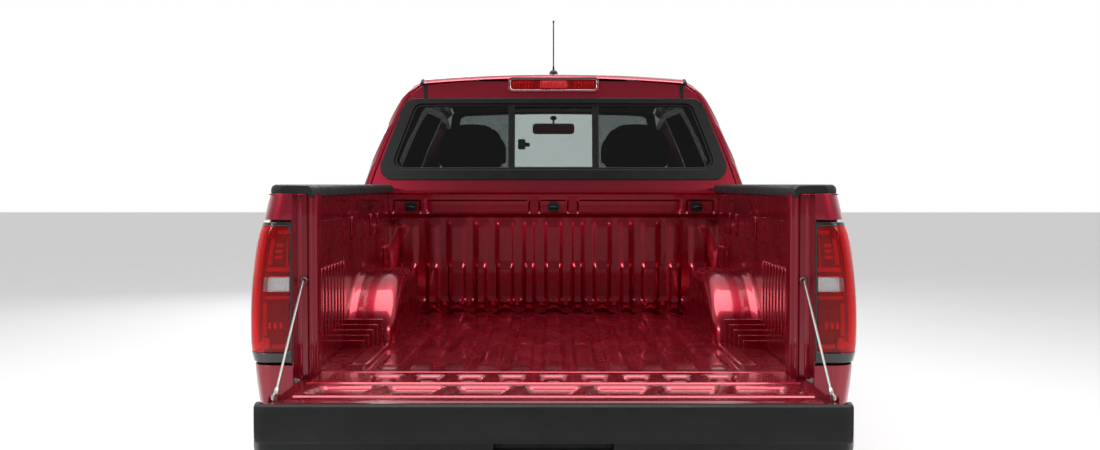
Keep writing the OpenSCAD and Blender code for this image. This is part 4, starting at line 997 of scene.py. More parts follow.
# ---- Tailgate, let down -------------------------------------------------------------------------------------
def tailgate():
    top = Z_HINGE + 30
    s0, s1 = S_HINGE - 24, S_HINGE + GATE_REACH - 40
    half = GATE_W / 2

    def stamped(y, s):
        near = S_HINGE + 55
        row1 = np.abs(y / 121.0 - np.round(y / 121.0)) * 121
        in1 = (np.abs(y) < 4.5 * 121)
        taper = 40 - 10 * np.clip((s - near) / 110, 0, 1)
        e1 = -9 * (1 - step(taper - 6, taper + 4, row1)) * pad(s, near, near + 110, 7) * in1
        e1b = 5 * (1 - step(taper - 16, taper - 8, row1)) * pad(s, near + 26, near + 84, 6) * in1
        row2 = np.abs((y - (s - S_HINGE - 240) * 0.28) / 190.0 - np.round((y - (s - S_HINGE - 240) * 0.28) / 190.0)) * 190
        in2 = (np.abs(y) < 3.55 * 190)
        e2 = -10 * (1 - step(66, 78, row2)) * pad(s, S_HINGE + 235, S_HINGE + 345, 8) * in2
        line = 5 * pad(s, S_HINGE + 200, S_HINGE + 212, 4) - 7 * pad(s, S_HINGE + 375, S_HINGE + 392, 4) + 3 * pad(s, S_HINGE + 425,
                S_HINGE + 470, 5)
        edge = 24 * step(OPENING_Y - 16, OPENING_Y - 2, np.abs(y)) + 24 * (1 - step(s0 + 14, s0 + 34, s))
        return points(s, y, top + np.where(edge > 0.5, 0, e1 + e1b + e2 + line) - edge)
    ys = spread(-half + 3, -OPENING_Y, OPENING_Y, half - 3, h=8.5)
    ss = spread(s0 + 4, S_HINGE + 45, S_HINGE + 500 - 20, s1, h=8.5)
    inner = sheet(stamped, ys, ss, 3)
    z0 = Z_HINGE - 30
    outer = slab(flat("z", z0, -1), rounded([[s0, -half], [s1 + 2, -half], [s1 + 2, half], [s0, half]], 10), [
        rounded([[S_HINGE + 250, -110], [S_HINGE + 350, -110], [S_HINGE + 350, 110], [S_HINGE + 250, 110]], 22)], 0, 3, 60, 1.4, 2)
    rim = [block((s0, s1), (half - 3.2, half), (z0 + 1, top - 25), 1.4), block((s0, s1), (-half, -half + 3.2), (z0 + 1, top - 25), 1.4),
           block((s0 - 0.2, s0 + 3), (-half, half), (z0 + 1, top - 25), 1.4)]
    return inner, outer, rim


def build_tailgate():
    inner, outer, rim = tailgate()
    piece("tailgate_inner", [inner], M["bed_paint"], "tailgate", replaces="tailgate", slot="body_paint")
    piece("tailgate_outer", [outer] + rim, M["cherry_paint"], "tailgate", slot="body_paint")
    z0 = Z_HINGE - 30
    pull = slab(flat("z", z0 + 26, -1), rect(S_HINGE + 244, S_HINGE + 356, -116, 116, 20), [], 0, 4, 60, 1.8)
    flap = slab(flat("z", z0 + 6, -1), rect(S_HINGE + 290, S_HINGE + 350, -104, 104, 14), [], 0, 5, 60, 2.2)
    piece("tailgate_handle", [pull, flap], M["satin_black"], "tailgate", slot="black_plastic")
    rows = []
    half = GATE_W / 2
    z1 = Z_HINGE + 30
    for y in spread(-half, -half + 30, half - 30, half, h=12):
        e = 1 - math.sqrt(max(0, 1 - pos((abs(y) - half + 16) / 16) ** 2))
        s_out = S_HINGE + GATE_REACH - 9 * e
        s_in = S_HINGE + GATE_REACH - 39
        prof = [(s_in, z1 - 3), (s_in + 6, z1), (s_out - 12, z1), (s_out - 5, z1 - 2), (s_out - 1, z1 - 8), (s_out, z1 - 20),
                (s_out, z1 - 60),
                (s_out - 3, z1 - 80), (s_out - 8, z1 - 92), (s_out - 14, z1 - GATE_CAP), (s_in - 3, z1 - GATE_CAP), (s_in - 6, z1 - 90),
                        (s_in - 6, z1 - 64), (s_in, z1 - 58)]
        rows.append([(X_FRONT - s, y, z) for s, z in prof])
    piece("tailgate_cap_trim", [loft(rows)], M["grained_plastic"], "tailgate", replaces="tailgate_cap", slot="black_plastic")
    pins = [lathe([(0.1, half - 2), (9, half - 2), (9, LAMP_Y - 1), (14, LAMP_Y - 1), (14, LAMP_Y + 4), (0.1, LAMP_Y + 4)],
            (X_FRONT - S_HINGE, 0, Z_HINGE), n=24)]
    piece("tailgate_hinge_pins", both(pins), M["brushed_steel"], "body", slot="steel")


def build_straps():
    """The two taut straps that hold the tailgate level."""
    top, foot = (S_FLOOR_END + 10, 996.0), (S_HINGE + 330, Z_HINGE + 16)
    y = GATE_W / 2 - 8
    for side, name in SIDES:
        path = [(X_FRONT - lerp(top[0], foot[0], t), y, lerp(top[1], foot[1], t)) for t in np.linspace(0.035, 0.955, 40)]
        strap = piece(f"strap_{name}", [tube(path, 3.6, 12)], M["strap_steel"], None, replaces="tailgate_cables" if side == LEFT else (),
                slot="steel_cable", side=side)
        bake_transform(strap)
        eye = [lathe([(0.1, 12), (7, 12), (9, 9), (10, 2), (9, -1), (0.1, -1)], (X_FRONT - S_FLOOR_END, y, top[1]), "x", 28)]
        eye = [(v * np.array([1, 1, 1]), [q[::-1] for q in f], n) for v, f, n in [moved(e, 0) for e in eye]]
        a = [(X_FRONT - S_FLOOR_END - 8 - 3 * math.cos(k), y + 9 * math.sin(k), top[1] - 9 + 9 * math.cos(k)) for k in np.linspace(0,
                2 * math.pi, 20)]
        piece(f"strap_stud_{name}", eye + [tube(a, 2.4, 10)], M["brushed_steel"], slot="steel", side=side)
        d = np.array([-(foot[0] - top[0]), 0, foot[1] - top[1]])
        d /= np.linalg.norm(d)
        end = np.array([X_FRONT - foot[0], y, foot[1]])
        ferrule = tube([end - d * k for k in (34, 30, 12, 6)], [4.2, 6.5, 6.5, 5], 14)
        tab = slab(flat("y", y + 3, 1), rounded([[foot[0] - 22, foot[1] - 10], [foot[0] + 14, foot[1] - 10], [foot[0] + 14, foot[1] + 12],
                [foot[0] - 22, foot[1] + 12]], 9), [], 0, 5, 50, 1.5)
        bolt = lathe([(0.1, y + 9), (6, y + 9), (8, y + 6), (8, y + 3), (11, y + 3), (11, y + 1), (0.1, y + 1)],
                (X_FRONT - foot[0], 0, foot[1]), n=20)
        piece(f"strap_foot_{name}", [ferrule, tab, bolt], M["brushed_steel"], "tailgate", slot="steel", side=side)


# ---- Tail lamps ---------------------------------------------------------------------------------------------
def lamp_face(u, z):
    n = face_normal(tail_face, u, z)
    swell = 9 * np.exp(-((u - (S_TAIL - 35)) / 62) ** 2) * pad(z, LAMP_Z0 + 20, LAMP_Z1 - 20, 30)
    return tail_face(u, z) + n * swell[..., None]


def across(y):
    return tail_inboard(950, y)


def lamp_rect(y0, y1, z0, z1, r=4, lean=0.0):
    a, b = across(max(y0, y1)), across(min(y0, y1))
    return rounded([[a, z0], [b, z0], [b + lean, z1], [a + lean, z1]], r, 30)


def build_tail_lamps():
    inner = across(LAMP_Y)
    for side, name in SIDES:
        wear = {"side": side}
        full = lamp_outline(-1)
        pts = [[S_TAIL - 169, LAMP_Z0 + 32], [inner - 9, LAMP_Z0 + 32], [inner - 9, LAMP_Z1 - 13], [S_TAIL - 144, LAMP_Z1 - 13]]
        window = rounded(pts, [34, 16, 26, 36])
        rim = slab(lamp_face, full, [window], -1.5, 34, 24, 3.0)
        back = slab(tail_face, grow(full, -3), [], 30, 36, 34, 2)
        piece(f"tail_lamp_bezel_{name}", [rim], M["gloss_black"], replaces="tail_lamps" if side == LEFT else (), slot="lamp_red", **wear)
        piece(f"tail_lamp_cavity_{name}", [back, slab(tail_face, lamp_rect(846, 779, 1044, 1112, 8), [], 20, 30, 30, 6),
                                           slab(tail_face, lamp_rect(846, 779, 880, 930, 8), [], 20, 30, 30, 6)],
              M["maroon_cavity"], slot="lamp_red", **wear)
        band = lamp_rect(858, 779, 958, 1000, 6)
        red = slab(lamp_face, grow(window, -0.6), [grow(band, 0.8)], 0.5, 4, 22, 1.5)
        piece(f"tail_lamp_lens_{name}", [red], M["red_lens"], slot="lamp_red", **wear)
        piece(f"reverse_lens_{name}", [slab(lamp_face, band, [], 0.5, 4, 22, 1.5)], M["clear_lens"], slot="lamp_clear", **wear)
        parts = [slab(tail_face, lamp_rect(862, 775, 954, 1004, 5), [], 17, 24, 30, 2)]
        parts += [slab(tail_face, lamp_rect(y + 2.2, y - 2.2, 958, 1000, 2), [], 11, 18, 30, 1.8) for y in np.linspace(850, 786, 7)]
        parts += [slab(tail_face, lamp_rect(y + 5, y - 5, 845, 866, 3), [], 13, 19, 30, 3) for y in (841, 825, 809)]
        piece(f"lamp_reflectors_{name}", parts, M["bright_reflector"], slot="lamp_clear", **wear)
        bright = [lamp_rect(861, 847, 1036, 1116, 5), lamp_rect(796, 790, 1030, 1120, 2.5), lamp_rect(866, 778, 1016, 1030, 5),
                lamp_rect(867, 852, 824, 922, 5),
                  lamp_rect(864, 782, 934, 944, 4), lamp_rect(870, 840, 784, 820, 9), lamp_rect(836, 783, 786, 800, 5),
                          lamp_rect(842, 786, 1128, 1140, 5)]
        parts = [slab(tail_face, q, [], 9, 17, 30, 3.5) for q in bright]
        parts += [slab(tail_face, rect(S_TAIL - 150 + 34 * k, S_TAIL - 128 + 34 * k, 800, 1120, 9), [], 12, 18, 40, 4) for k in range(4)]
        parts += [slab(tail_face, lamp_rect(840, 812, 1054 + 18 * k, 1064 + 18 * k, 4), [], 15, 19, 30, 2) for k in range(3)]
        piece(f"lamp_elements_{name}", parts, M["red_reflector"], slot="lamp_red", **wear)


def rear_plate(at, z0, z1, y0, y1, d0, d1, r=4, corner=6, holes=(), h=60):
    """A plate that faces the tail at station at, between two heights and widths."""
    return slab(flat("x", at, -1), rect(z0, z1, y0, y1, corner), holes, d0, d1, h, r)


def build_high_brake_lamp():
    at, z0, z1, half = S_CAB - 78, ROOF_Z - 100, ROOF_Z - 32, 207
    ring = rear_plate(at, z0, z1, -half, half, -3, 36, 4, 20, [rect(z0 + 6, z1 - 6, -half + 8, half - 8, 15)])
    piece("brake_lamp_surround", [ring], M["cherry_paint"], replaces="high_brake_lamp", slot="body_paint")
    trim = rear_plate(at, z0 + 6.5, z1 - 6.5, -half + 8.5, half - 8.5, -1, 30, 2, 15, [rect(z0 + 11, z1 - 11, -half + 13, half - 13, 11)])
    piece("brake_lamp_trim", [trim], M["bright_metal"], slot="lamp_clear")
    tray = rear_plate(at, z0 + 9, z1 - 9, -half + 10, half - 10, 24, 30, 1.5, 12)
    piece("brake_lamp_tray", [tray], M["maroon_cavity"], slot="lamp_red")
    mid = [rear_plate(at, z0 + 16, z1 - 16, -62, 62, -1, 12, 3, 9)]
    mid += [rear_plate(at, z0 + 20, z1 - 20, y - 5, y + 5, -4, 3, 2, 4) for y in np.linspace(-48, 48, 7)]
    piece("brake_lamp_element", mid, M["red_reflector"], slot="lamp_red")
    ends = [rear_plate(at, z0 + 15, z1 - 15, a, a + 96, 12, 24, 4, 9) for a in (-half + 18, half - 114)]
    ends += [rear_plate(at, z0 + 17, z1 - 17, a + k * 14, a + k * 14 + 4, 8, 14, 1.5, 2) for a in (-half + 22,
            half - 110) for k in range(7)]
    piece("brake_lamp_reflectors", ends, M["bright_reflector"], slot="lamp_clear")
    lens = rear_plate(at, z0 + 11.5, z1 - 11.5, -half + 13.5, half - 13.5, 2, 5, 1.2, 10, [rect(z0 + 15, z1 - 15, -63, 63, 9)])
    piece("brake_lamp_lens", [lens], M["red_lens"], slot="lamp_red")


# ---- Cab ----------------------------------------------------------------------------------------------------
DOOR_BOTTOM, CAB_R = 455.0, 24.0
DOORS = {
    "front": {"hinge": S_DOOR, "end": S_MID,
              "outline": [(S_DOOR, DOOR_BOTTOM), (S_MID, DOOR_BOTTOM), (S_MID, BELT_Z), (S_MID - 24, ROOF_Z - 93),
                      (S_DOOR + 700, ROOF_Z - 103),
                          (S_DOOR + 640, ROOF_Z - 135), (S_DOOR + 66, 1190), (S_DOOR, 1120)],
              "window": [(S_DOOR + 160, BELT_Z + 24), (S_MID - 48, BELT_Z + 30), (S_MID - 66, ROOF_Z - 137), (S_DOOR + 712, ROOF_Z - 145),
                         (S_DOOR + 652, ROOF_Z - 165)]},
    "rear": {"hinge": S_REAR_DOOR, "end": S_DOOR_END,
             "outline": [(S_REAR_DOOR, DOOR_BOTTOM), (S_DOOR_END, DOOR_BOTTOM), (S_DOOR_END, BELT_Z), (S_DOOR_END - 48, ROOF_Z - 185),
                         (S_DOOR_END - 110, ROOF_Z - 105), (S_REAR_DOOR - 24, ROOF_Z - 93), (S_REAR_DOOR, BELT_Z)],
             "window": [(S_REAR_DOOR + 48, BELT_Z + 30), (S_DOOR_END - 56, BELT_Z + 40), (S_DOOR_END - 96, ROOF_Z - 205),
                     (S_DOOR_END - 135, ROOF_Z - 149),
                        (S_REAR_DOOR + 28, ROOF_Z - 139)]}}


def door_outline(which, gap=0.0):
    return grow(rounded(DOORS[which]["outline"], 18, 30), gap)


def window_outline(which, gap=0.0):
    return grow(rounded(DOORS[which]["window"], 16, 30), gap)


def cab_face(u, z):
    """The cab's side, then round its rear corner."""
    u, z = np.broadcast_arrays(np.asarray(u, float), np.asarray(z, float))
    u1 = back_at(780, z) - CAB_R
    a = np.clip((u - u1) / CAB_R, 0, math.pi / 2)
    w = cab_side(np.minimum(u, u1), z)
    s = np.minimum(u, u1) + CAB_R * np.sin(a)
    return points(s, w - CAB_R * (1 - np.cos(a)) - pos(u - u1 - CAB_R * math.pi / 2), z)


def cab_skin_face(u, z):
    """The cab's side, let in by the fender's thickness where the fender laps over it."""
    n = face_normal(cab_face, u, z)
    lap = 5.0 * (1 - step(S_DOOR - 8, S_DOOR - 2, u)) * (1 - step(1000, 1014, z))
    return cab_face(u, z) - n * lap[..., None]


def roof_edge(s):
    return roof_at(s, DITCH_Y) - 4


def cab_outline():
    rear = [(float(back_at(780, z)) - CAB_R + CAB_R * math.pi / 2 + 10, z) for z in np.linspace(ROCKER_Z, roof_edge(S_CAB - 140), 26)]
    top = [(s, float(roof_edge(s))) for s in np.linspace(S_CAB - 175, S_HEADER + 60, 22)]
    front = [(S_HEADER + 40, float(roof_edge(S_HEADER + 50)) - 12), (S_COWL + 74, 1136), (S_COWL + 74, 1012), (S_DOOR - 22, 1006),
            (S_DOOR - 22, ROCKER_Z)]
    return refine(np.array(rear + top + front), 26)


def build_cab_sides():
    both_doors = merge(door_outline("front", GAP), door_outline("rear", GAP))
    for side, name in SIDES:
        outline = cab_outline()
        skin = slab(cab_skin_face, outline, [both_doors], 0, 40, 34, 3)
        inner = slab(cab_face, grow(outline, -30), [door_outline("front", -27), door_outline("rear", -27)], 44, 112, 40, 5)
        piece(f"cab_side_{name}", [skin, inner], M["cherry_paint"], replaces="cab_sides" if side == LEFT else (), slot="body_paint",
                side=side)
        seals = []
        for which in DOORS:
            seals.append(slab(cab_face, door_outline(which, -16), [door_outline(which, -26)], 37, 45, 60, 3.5))
        piece(f"door_seals_{name}", seals, M["seal_rubber"], slot="black_plastic", side=side)
        sill = slab(cab_face, rect(S_DOOR + 30, S_MID - 40, ROCKER_Z + 8, ROCKER_Z + 36, 10), [], -3, 2, 60, 2.5)
        sill2 = slab(cab_face, rect(S_REAR_DOOR + 30, S_DOOR_END - 30, ROCKER_Z + 8, ROCKER_Z + 36, 10), [], -3, 2, 60, 2.5)
        piece(f"rocker_trim_{name}", [sill, sill2], M["grained_plastic"], slot="black_plastic", side=side)


def back_outline():
    zs = np.linspace(ROCKER_Z + 60, roof_edge(S_CAB - 100) - 3, 24)
    half = [float(cab_side(back_at(780, z) - CAB_R, z)) - CAB_R - 12 for z in zs]
    return refine(np.array([(z, -y) for z, y in zip(zs, half)] + [(z, y) for z, y in zip(zs[::-1], half[::-1])]), 26)


def build_cab_back():
    frame_low, frame_high = BELT_Z + 62, ROOF_Z - 128
    edge = rounded([[frame_low - 8, -812], [frame_low - 8, 812], [frame_high, 672], [frame_high, -672]], [60, 60, 66, 66])
    opening = rounded([[frame_low + 40, -740], [frame_low + 40, 740], [frame_high - 26, 628], [frame_high - 26, -628]], [42, 42, 46, 46])
    outline = back_outline()
    skin = slab(back_face, outline, [opening], 0, 55, 36, 3)
    piece("cab_back_panel", [skin], M["cherry_paint"], replaces="cab_back", slot="body_paint")
    surround = slab(back_face, edge, [opening], -5, 4, 36, 3.5)
    piece("rear_window_surround", [surround], M["satin_black"], slot="black_plastic")
    half, bar = 181, 18

    def pane(y0, y1, depth, t=4, grow_by=0):
        zs = (frame_low + 42, frame_high - 28)
        lo = lambda y, k: y if abs(y) < 300 else math.copysign((738, 626)[k], y)
        pts = [[zs[0], lo(y0, 0)], [zs[0], lo(y1, 0)], [zs[1], lo(y1, 1)], [zs[1], lo(y0, 1)]]
        r = [38 if abs(y0) > 300 else 3, 38 if abs(y1) > 300 else 3, 44 if abs(y1) > 300 else 3, 44 if abs(y0) > 300 else 3]
        return slab(back_face, grow(rounded(pts, r), grow_by), [], depth, depth + t, 60, 1.2)
    fixed = [pane(-700, -half, 8), pane(half, 700, 8)]
    piece("rear_glass_fixed", fixed, M["privacy_glass"], replaces="rear_window", slot="dark_glass")
    piece("rear_glass_slider", [pane(-half - bar, half + bar, 18, 4)], M["tinted_glass"], slot="dark_glass")
    bars = []
    for y in (-half - bar / 2, half + bar / 2):
        bars.append(slab(back_face, rect(frame_low + 38, frame_high - 24, y - bar / 2 - 6, y + bar / 2 + 6, 4), [], 2, 22, 60, 4))
    for z in (frame_low + 46, frame_high - 32):
        bars.append(slab(back_face, rect(z - 8, z + 8, -half - bar, half + bar, 4), [], 4, 26, 60, 3))
    bars.append(slab(back_face, opening, [grow(opening, -11)], 3, 12, 40, 3))
    piece("rear_window_bars", bars, M["satin_black"], slot="black_plastic")
    latch = [slab(back_face, rect(1440, 1486, 128, 162, 7), [], 24, 40, 60, 4),
            slab(back_face, rect(1454, 1472, 108, 140, 6), [], 34, 46, 60, 4)]
    piece("slider_latch", latch, M["soft_plastic"], slot="dash_plastic")
    strips = [slab(back_face, rect(frame_high + 2, ROOF_Z - 46, y - 9, y + 9, 4), [], -4, 6, 40, 3) for y in (-DITCH_Y + 16,
            DITCH_Y - 16)]
    piece("ditch_ends", strips, M["satin_black"], slot="black_plastic")
    vents = [slab(back_face, rect(560, 640, y - 60, y + 60, 8), [], -2, 3, 60, 2) for y in (-520, 520)]
    piece("cab_vents", vents, M["grained_plastic"], slot="black_plastic")


def roof_skin(w, s):
    """The roof, rolled down at its rear edge and crowned beads along it."""
    drop = 20 * pos((s - (S_CAB - 128)) / 40) ** 2
    bead = 3.2 * sum(pad(np.abs(w), c - 22, c + 22, 14) for c in (150, 380)) * step(S_HEADER + 90, S_HEADER + 220,
            s) * (1 - step(S_CAB - 420, S_CAB - 320, s))
    return points(s, w, roof_at(s, w) - drop + bead)


def build_roof():
    rear = S_CAB - 88
    half = DITCH_Y - 8
    front = [(w, S_HEADER + 16 + 52 * (w / 596) ** 2) for w in np.linspace(half, -half, 22)]
    back = [(w, rear) for w in np.linspace(-half, half, 22)]
    loop = refine(np.array(front + back), 30)
    panel = slab(roof_skin, loop, [], 0, 4, 24, 1.8)
    piece("roof_skin", [panel], M["cherry_paint"], replaces="roof_panel", slot="body_paint")
    liner = slab(roof_skin, grow(loop, -14), [], 26, 40, 60, 6)
    piece("headliner", [liner], M["grey_trim"], slot="dash_plastic")
    for side, name in SIDES:
        rows = []
        for s in spread(S_HEADER + 70, S_CAB - 92, h=40):
            z = float(roof_at(s, DITCH_Y)) - 20 * float(pos((s - (S_CAB - 128)) / 40)) ** 2
            rows.append([(X_FRONT - s, DITCH_Y + y, z + dz) for y,
                    dz in ((-9, -9), (-9, -1), (-5, 2.2), (0, 3.2), (5, 2), (8, -1.5), (8, -9))])
        piece(f"ditch_moulding_{name}", [loft(rows)], M["satin_black"], slot="black_plastic", side=side)
    base = S_CAB - 260
    z = float(roof_at(base - 34, 0)) + 0.3
    rows = []
    for t in np.linspace(0, 1, 12):
        a = np.linspace(0, 2 * math.pi, 28, endpoint=False)
        k = math.sqrt(max(0.0, 1 - t ** 2.4))
        rows.append([(X_FRONT - base - 6 * t + (34 * k + 2) * math.cos(b), (20 * k + 2) * math.sin(b), z - 1 + 27 * t) for b in a])
    piece("antenna_base", [loft(rows)], M["satin_black"], replaces="antenna", slot="black_plastic")
    mast = [(X_FRONT - base - 6 - 0.07 * k, 0, z + 22 + k) for k in np.linspace(0, 232, 30)]
    radii = [4.6 if k < 3 else 2.6 for k in range(28)] + [4.0, 4.0]
    coil = [(X_FRONT - base - 6 - 0.07 * k + 3.2 * math.cos(k * 0.55), 3.2 * math.sin(k * 0.55), z + 30 + k) for k in np.linspace(0, 196,
            260)]
    piece("antenna_mast", [tube(mast, radii, 12), tube(coil, 0.8, 5)], M["grained_plastic"], slot="black_plastic")


# ---- Doors ----------------------------------------------------------------------------------------------------
def trim_strip(pts, d0, d1, r=2.5, corner=5.0, f=cab_face):
    return slab(f, rounded(pts, corner, 30), [], d0, d1, 60, r)


def door_parts(which):
    """Painted skin and frame, black trim, inner panel and handle of a door on the left side."""
    end = DOORS[which]["end"]
    start = DOORS[which]["hinge"]
    outline, window = door_outline(which), window_outline(which)
    hs, hz = end - 128, 1086.0
    cup = rect(hs - 62, hs + 58, hz - 30, hz + 22, 24, 12)
    skin = slab(cab_face, outline, [window, cup], 0, 9.6, 26, 3)
    frame = slab(cab_face, grow(outline, -13), [grow(window, 0.4)], 10, 34.5, 40, 3)
    handle = slab(cab_face, rect(hs - 96, hs + 92, hz - 12, hz + 14, 12, 14), [], -36, -21, 16, 7)
    feet = [slab(cab_face, rect(hs + a, hs + a + 30, hz - 9, hz + 11, 8), [], -24, 2, 40, 3) for a in (-92, 58)]
    surround = slab(cab_face, grow(window, 14), [grow(window, -5)], -1.5, 7, 36, 2.5)
    first = start + 172 if which == "front" else start + 10
    belt = trim_strip([(first, BELT_Z + 7), (end - 10, BELT_Z + 7), (end - 11, BELT_Z + 25), (first + 8, BELT_Z + 25)], -3, 5)
    if which == "front":
        post = [(S_MID - 40, BELT_Z + 34), (S_MID - 3, BELT_Z + 34), (S_MID - 25, ROOF_Z - 103), (S_MID - 56, ROOF_Z - 128)]
        sail = [(S_DOOR + 110, 1234), (S_DOOR + 150, 1234), (S_DOOR + 166, BELT_Z + 30), (S_DOOR + 160, 1266)]
    else:
        post = [(S_REAR_DOOR + 3, BELT_Z + 34), (S_REAR_DOOR + 38, BELT_Z + 34), (S_REAR_DOOR + 12, ROOF_Z - 128),
                (S_REAR_DOOR - 19, ROOF_Z - 103)]
        sail = [(end - 66, BELT_Z + 40), (end - 14, BELT_Z + 34), (end - 58, ROOF_Z - 190), (end - 104, ROOF_Z - 200)]
    trim = [surround, belt, trim_strip(post, -1.2, 5), trim_strip(sail, -1.2, 5, corner=4)]
    lo, hi = start + 52, end - 52
    top = BELT_Z + 2
    shape = [[lo, DOOR_BOTTOM + 52], [hi, DOOR_BOTTOM + 52], [hi, top], [lo + (104 if which == "front" else 0), top],
            [lo, 1150 if which == "front" else top - 30]]
    if which == "front":
        shape[3:] = [[lo + 106, top], [lo + 4, 1150]]
    shape = np.array(shape, float)
    mid = (lo + hi) / 2
    panel = slab(cab_face, rounded(shape, [40, 40, 14, 20, 30], 30), [], 36, 92, 40, 14)
    pocket = slab(cab_face, rect(lo + 60, hi - 60, DOOR_BOTTOM + 90, DOOR_BOTTOM + 190, 30), [], 88, 104, 40, 10)
    rest = slab(cab_face, rect(mid - 130, hi - 60, 930, 1000, 30), [], 88, 107.5, 40, 12)
    speaker = slab(cab_face, circle(lo + 160, DOOR_BOTTOM + 300, 84), [], 90, 97, 40, 3)
    rings = [slab(cab_face, circle(lo + 160, DOOR_BOTTOM + 300, r), [circle(lo + 160, DOOR_BOTTOM + 300, r - 5)], 96, 99, 60,
            1.2) for r in (76, 60, 44, 28)]
    insert = slab(cab_face, rect(lo + 90, hi - 70, 1020, 1150, 26), [], 88, 100, 40, 8)
    pull = slab(cab_face, rect(lo + 120, lo + 200, 1168, 1196, 12), [], 88, 101, 40, 5)
    return {"paint": [skin, frame, handle] + feet, "trim": trim, "lining": [panel, pocket, rest, speaker] + rings, "cloth": [insert],
            "pull": [pull]}


def mirror_parts():
    s, y, z = S_DOOR + 150, HALF_W + 105, 1290.0
    sizes = [(39, 190, 200, 42), (12, 190, 200, 44), (-14, 186, 196, 46), (-34, 174, 184, 48), (-50, 150, 160, 46), (-60, 122, 132, 40),
            (-65, 92, 100, 32)]
    rows = []
    for ds, w, h, r in sizes:
        loop = rounded([[-w / 2, -h / 2], [w / 2, -h / 2], [w / 2, h / 2], [-w / 2, h / 2]], r, 400)
        rows.append([(X_FRONT - s - ds, y + p[0], z + p[1]) for p in loop])
    n = min(len(r) for r in rows)
    shell = loft([r[:n] for r in rows][::-1])
    rim = slab(flat("x", s + 40, -1), rect(z - 100, z + 100, y - 95, y + 95, 42), [rect(z - 88, z + 88, y - 83, y + 83, 34)], -0.5, 12,
            60, 3)
    glass = slab(flat("x", s + 40, -1), rect(z - 87, z + 87, y - 82, y + 82, 33), [], 4, 7, 60, 1)
    root = float(cab_side(s - 10, BELT_Z - 24))
    arm = []
    for t in np.linspace(0, 1, 9):
        k = 1 + 0.5 * (1 - t) ** 3
        yy = lerp(root - 2, HALF_W + 62, t)
        a = np.linspace(0, 2 * math.pi, 24, endpoint=False)
        arm.append([(X_FRONT - s - 2 + 23 * k * math.copysign(abs(math.cos(b)) ** 0.7, math.cos(b)), yy,
                     BELT_Z - 24 + 11.5 * k * math.copysign(abs(math.sin(b)) ** 0.7, math.sin(b)) + 6 * t) for b in a])
    lamp = slab(flat("y", y + 94.4, 1), rect(s - 30, s + 20, z - 12, z + 12, 8), [], -0.6, 3, 60, 1.5)
    return shell, rim, glass, loft(arm), lamp


def build_doors():
    for which in DOORS:
        parts = door_parts(which)
        glass = slab(cab_face, window_outline(which, -1.2), [], 14, 18.6, 60, 1)
        for side, name in SIDES:
            body = f"{which}_door_{name}"
            wear = {"side": side, "body": body}
            tag = f"{which}_{name}"
            piece(f"door_{tag}", parts["paint"], M["cherry_paint"], replaces=body, slot="body_paint", **wear)
            piece(f"door_trim_{tag}", parts["trim"], M["satin_black"], slot="black_plastic", **wear)
            piece(f"door_lining_{tag}", parts["lining"], M["soft_plastic"], slot="dash_plastic", **wear)
            piece(f"door_insert_{tag}", parts["cloth"], M["seat_insert"], slot="seat_cloth", **wear)
            piece(f"door_pull_{tag}", parts["pull"], M["bright_metal"], slot="steel", **wear)
            piece(f"door_glass_{tag}", [glass], M["clear_glass" if which == "front" else "privacy_glass"],
                  replaces=f"{which}_glass_{name}", slot="glass" if which == "front" else "dark_glass", **wear)
    shell, rim, glass, arm, lamp = mirror_parts()
    for side, name in SIDES:
        wear = {"side": side, "body": f"front_door_{name}"}
        piece(f"mirror_shell_{name}", [shell], M["cherry_paint"], replaces=f"mirror_{name}", slot="body_paint", **wear)
        piece(f"mirror_frame_{name}", [rim, arm], M["grained_plastic"], slot="black_plastic", **wear)
        piece(f"mirror_glass_{name}", [glass], M["mirror_glass"], slot="steel", **wear)
        piece(f"mirror_lamp_{name}", [lamp], M["amber_reflector"], slot="lamp_clear", **wear)


# ---- Front end --------------------------------------------------------------------------------------------------
NOSE_A = np.linspace(-89, 89, 357)
_p = front_face(NOSE_A, np.full(357, 700.0))
NOSE_U = np.concatenate([[0], np.cumsum(np.linalg.norm(np.diff(_p, axis=0), axis=1))])
NOSE_U -= NOSE_U[178]


def nose_u(a):
    return float(np.interp(a, NOSE_A, NOSE_U))


def nose_face(u, z):
    return front_face(np.interp(u, NOSE_U, NOSE_A), z)


def hood_skin(w, s):
    lift = 6 * pad(np.abs(w), 110, 400, 70) * step(230, 520, s)
    return points(s, w, hood_at(s, w) + lift)


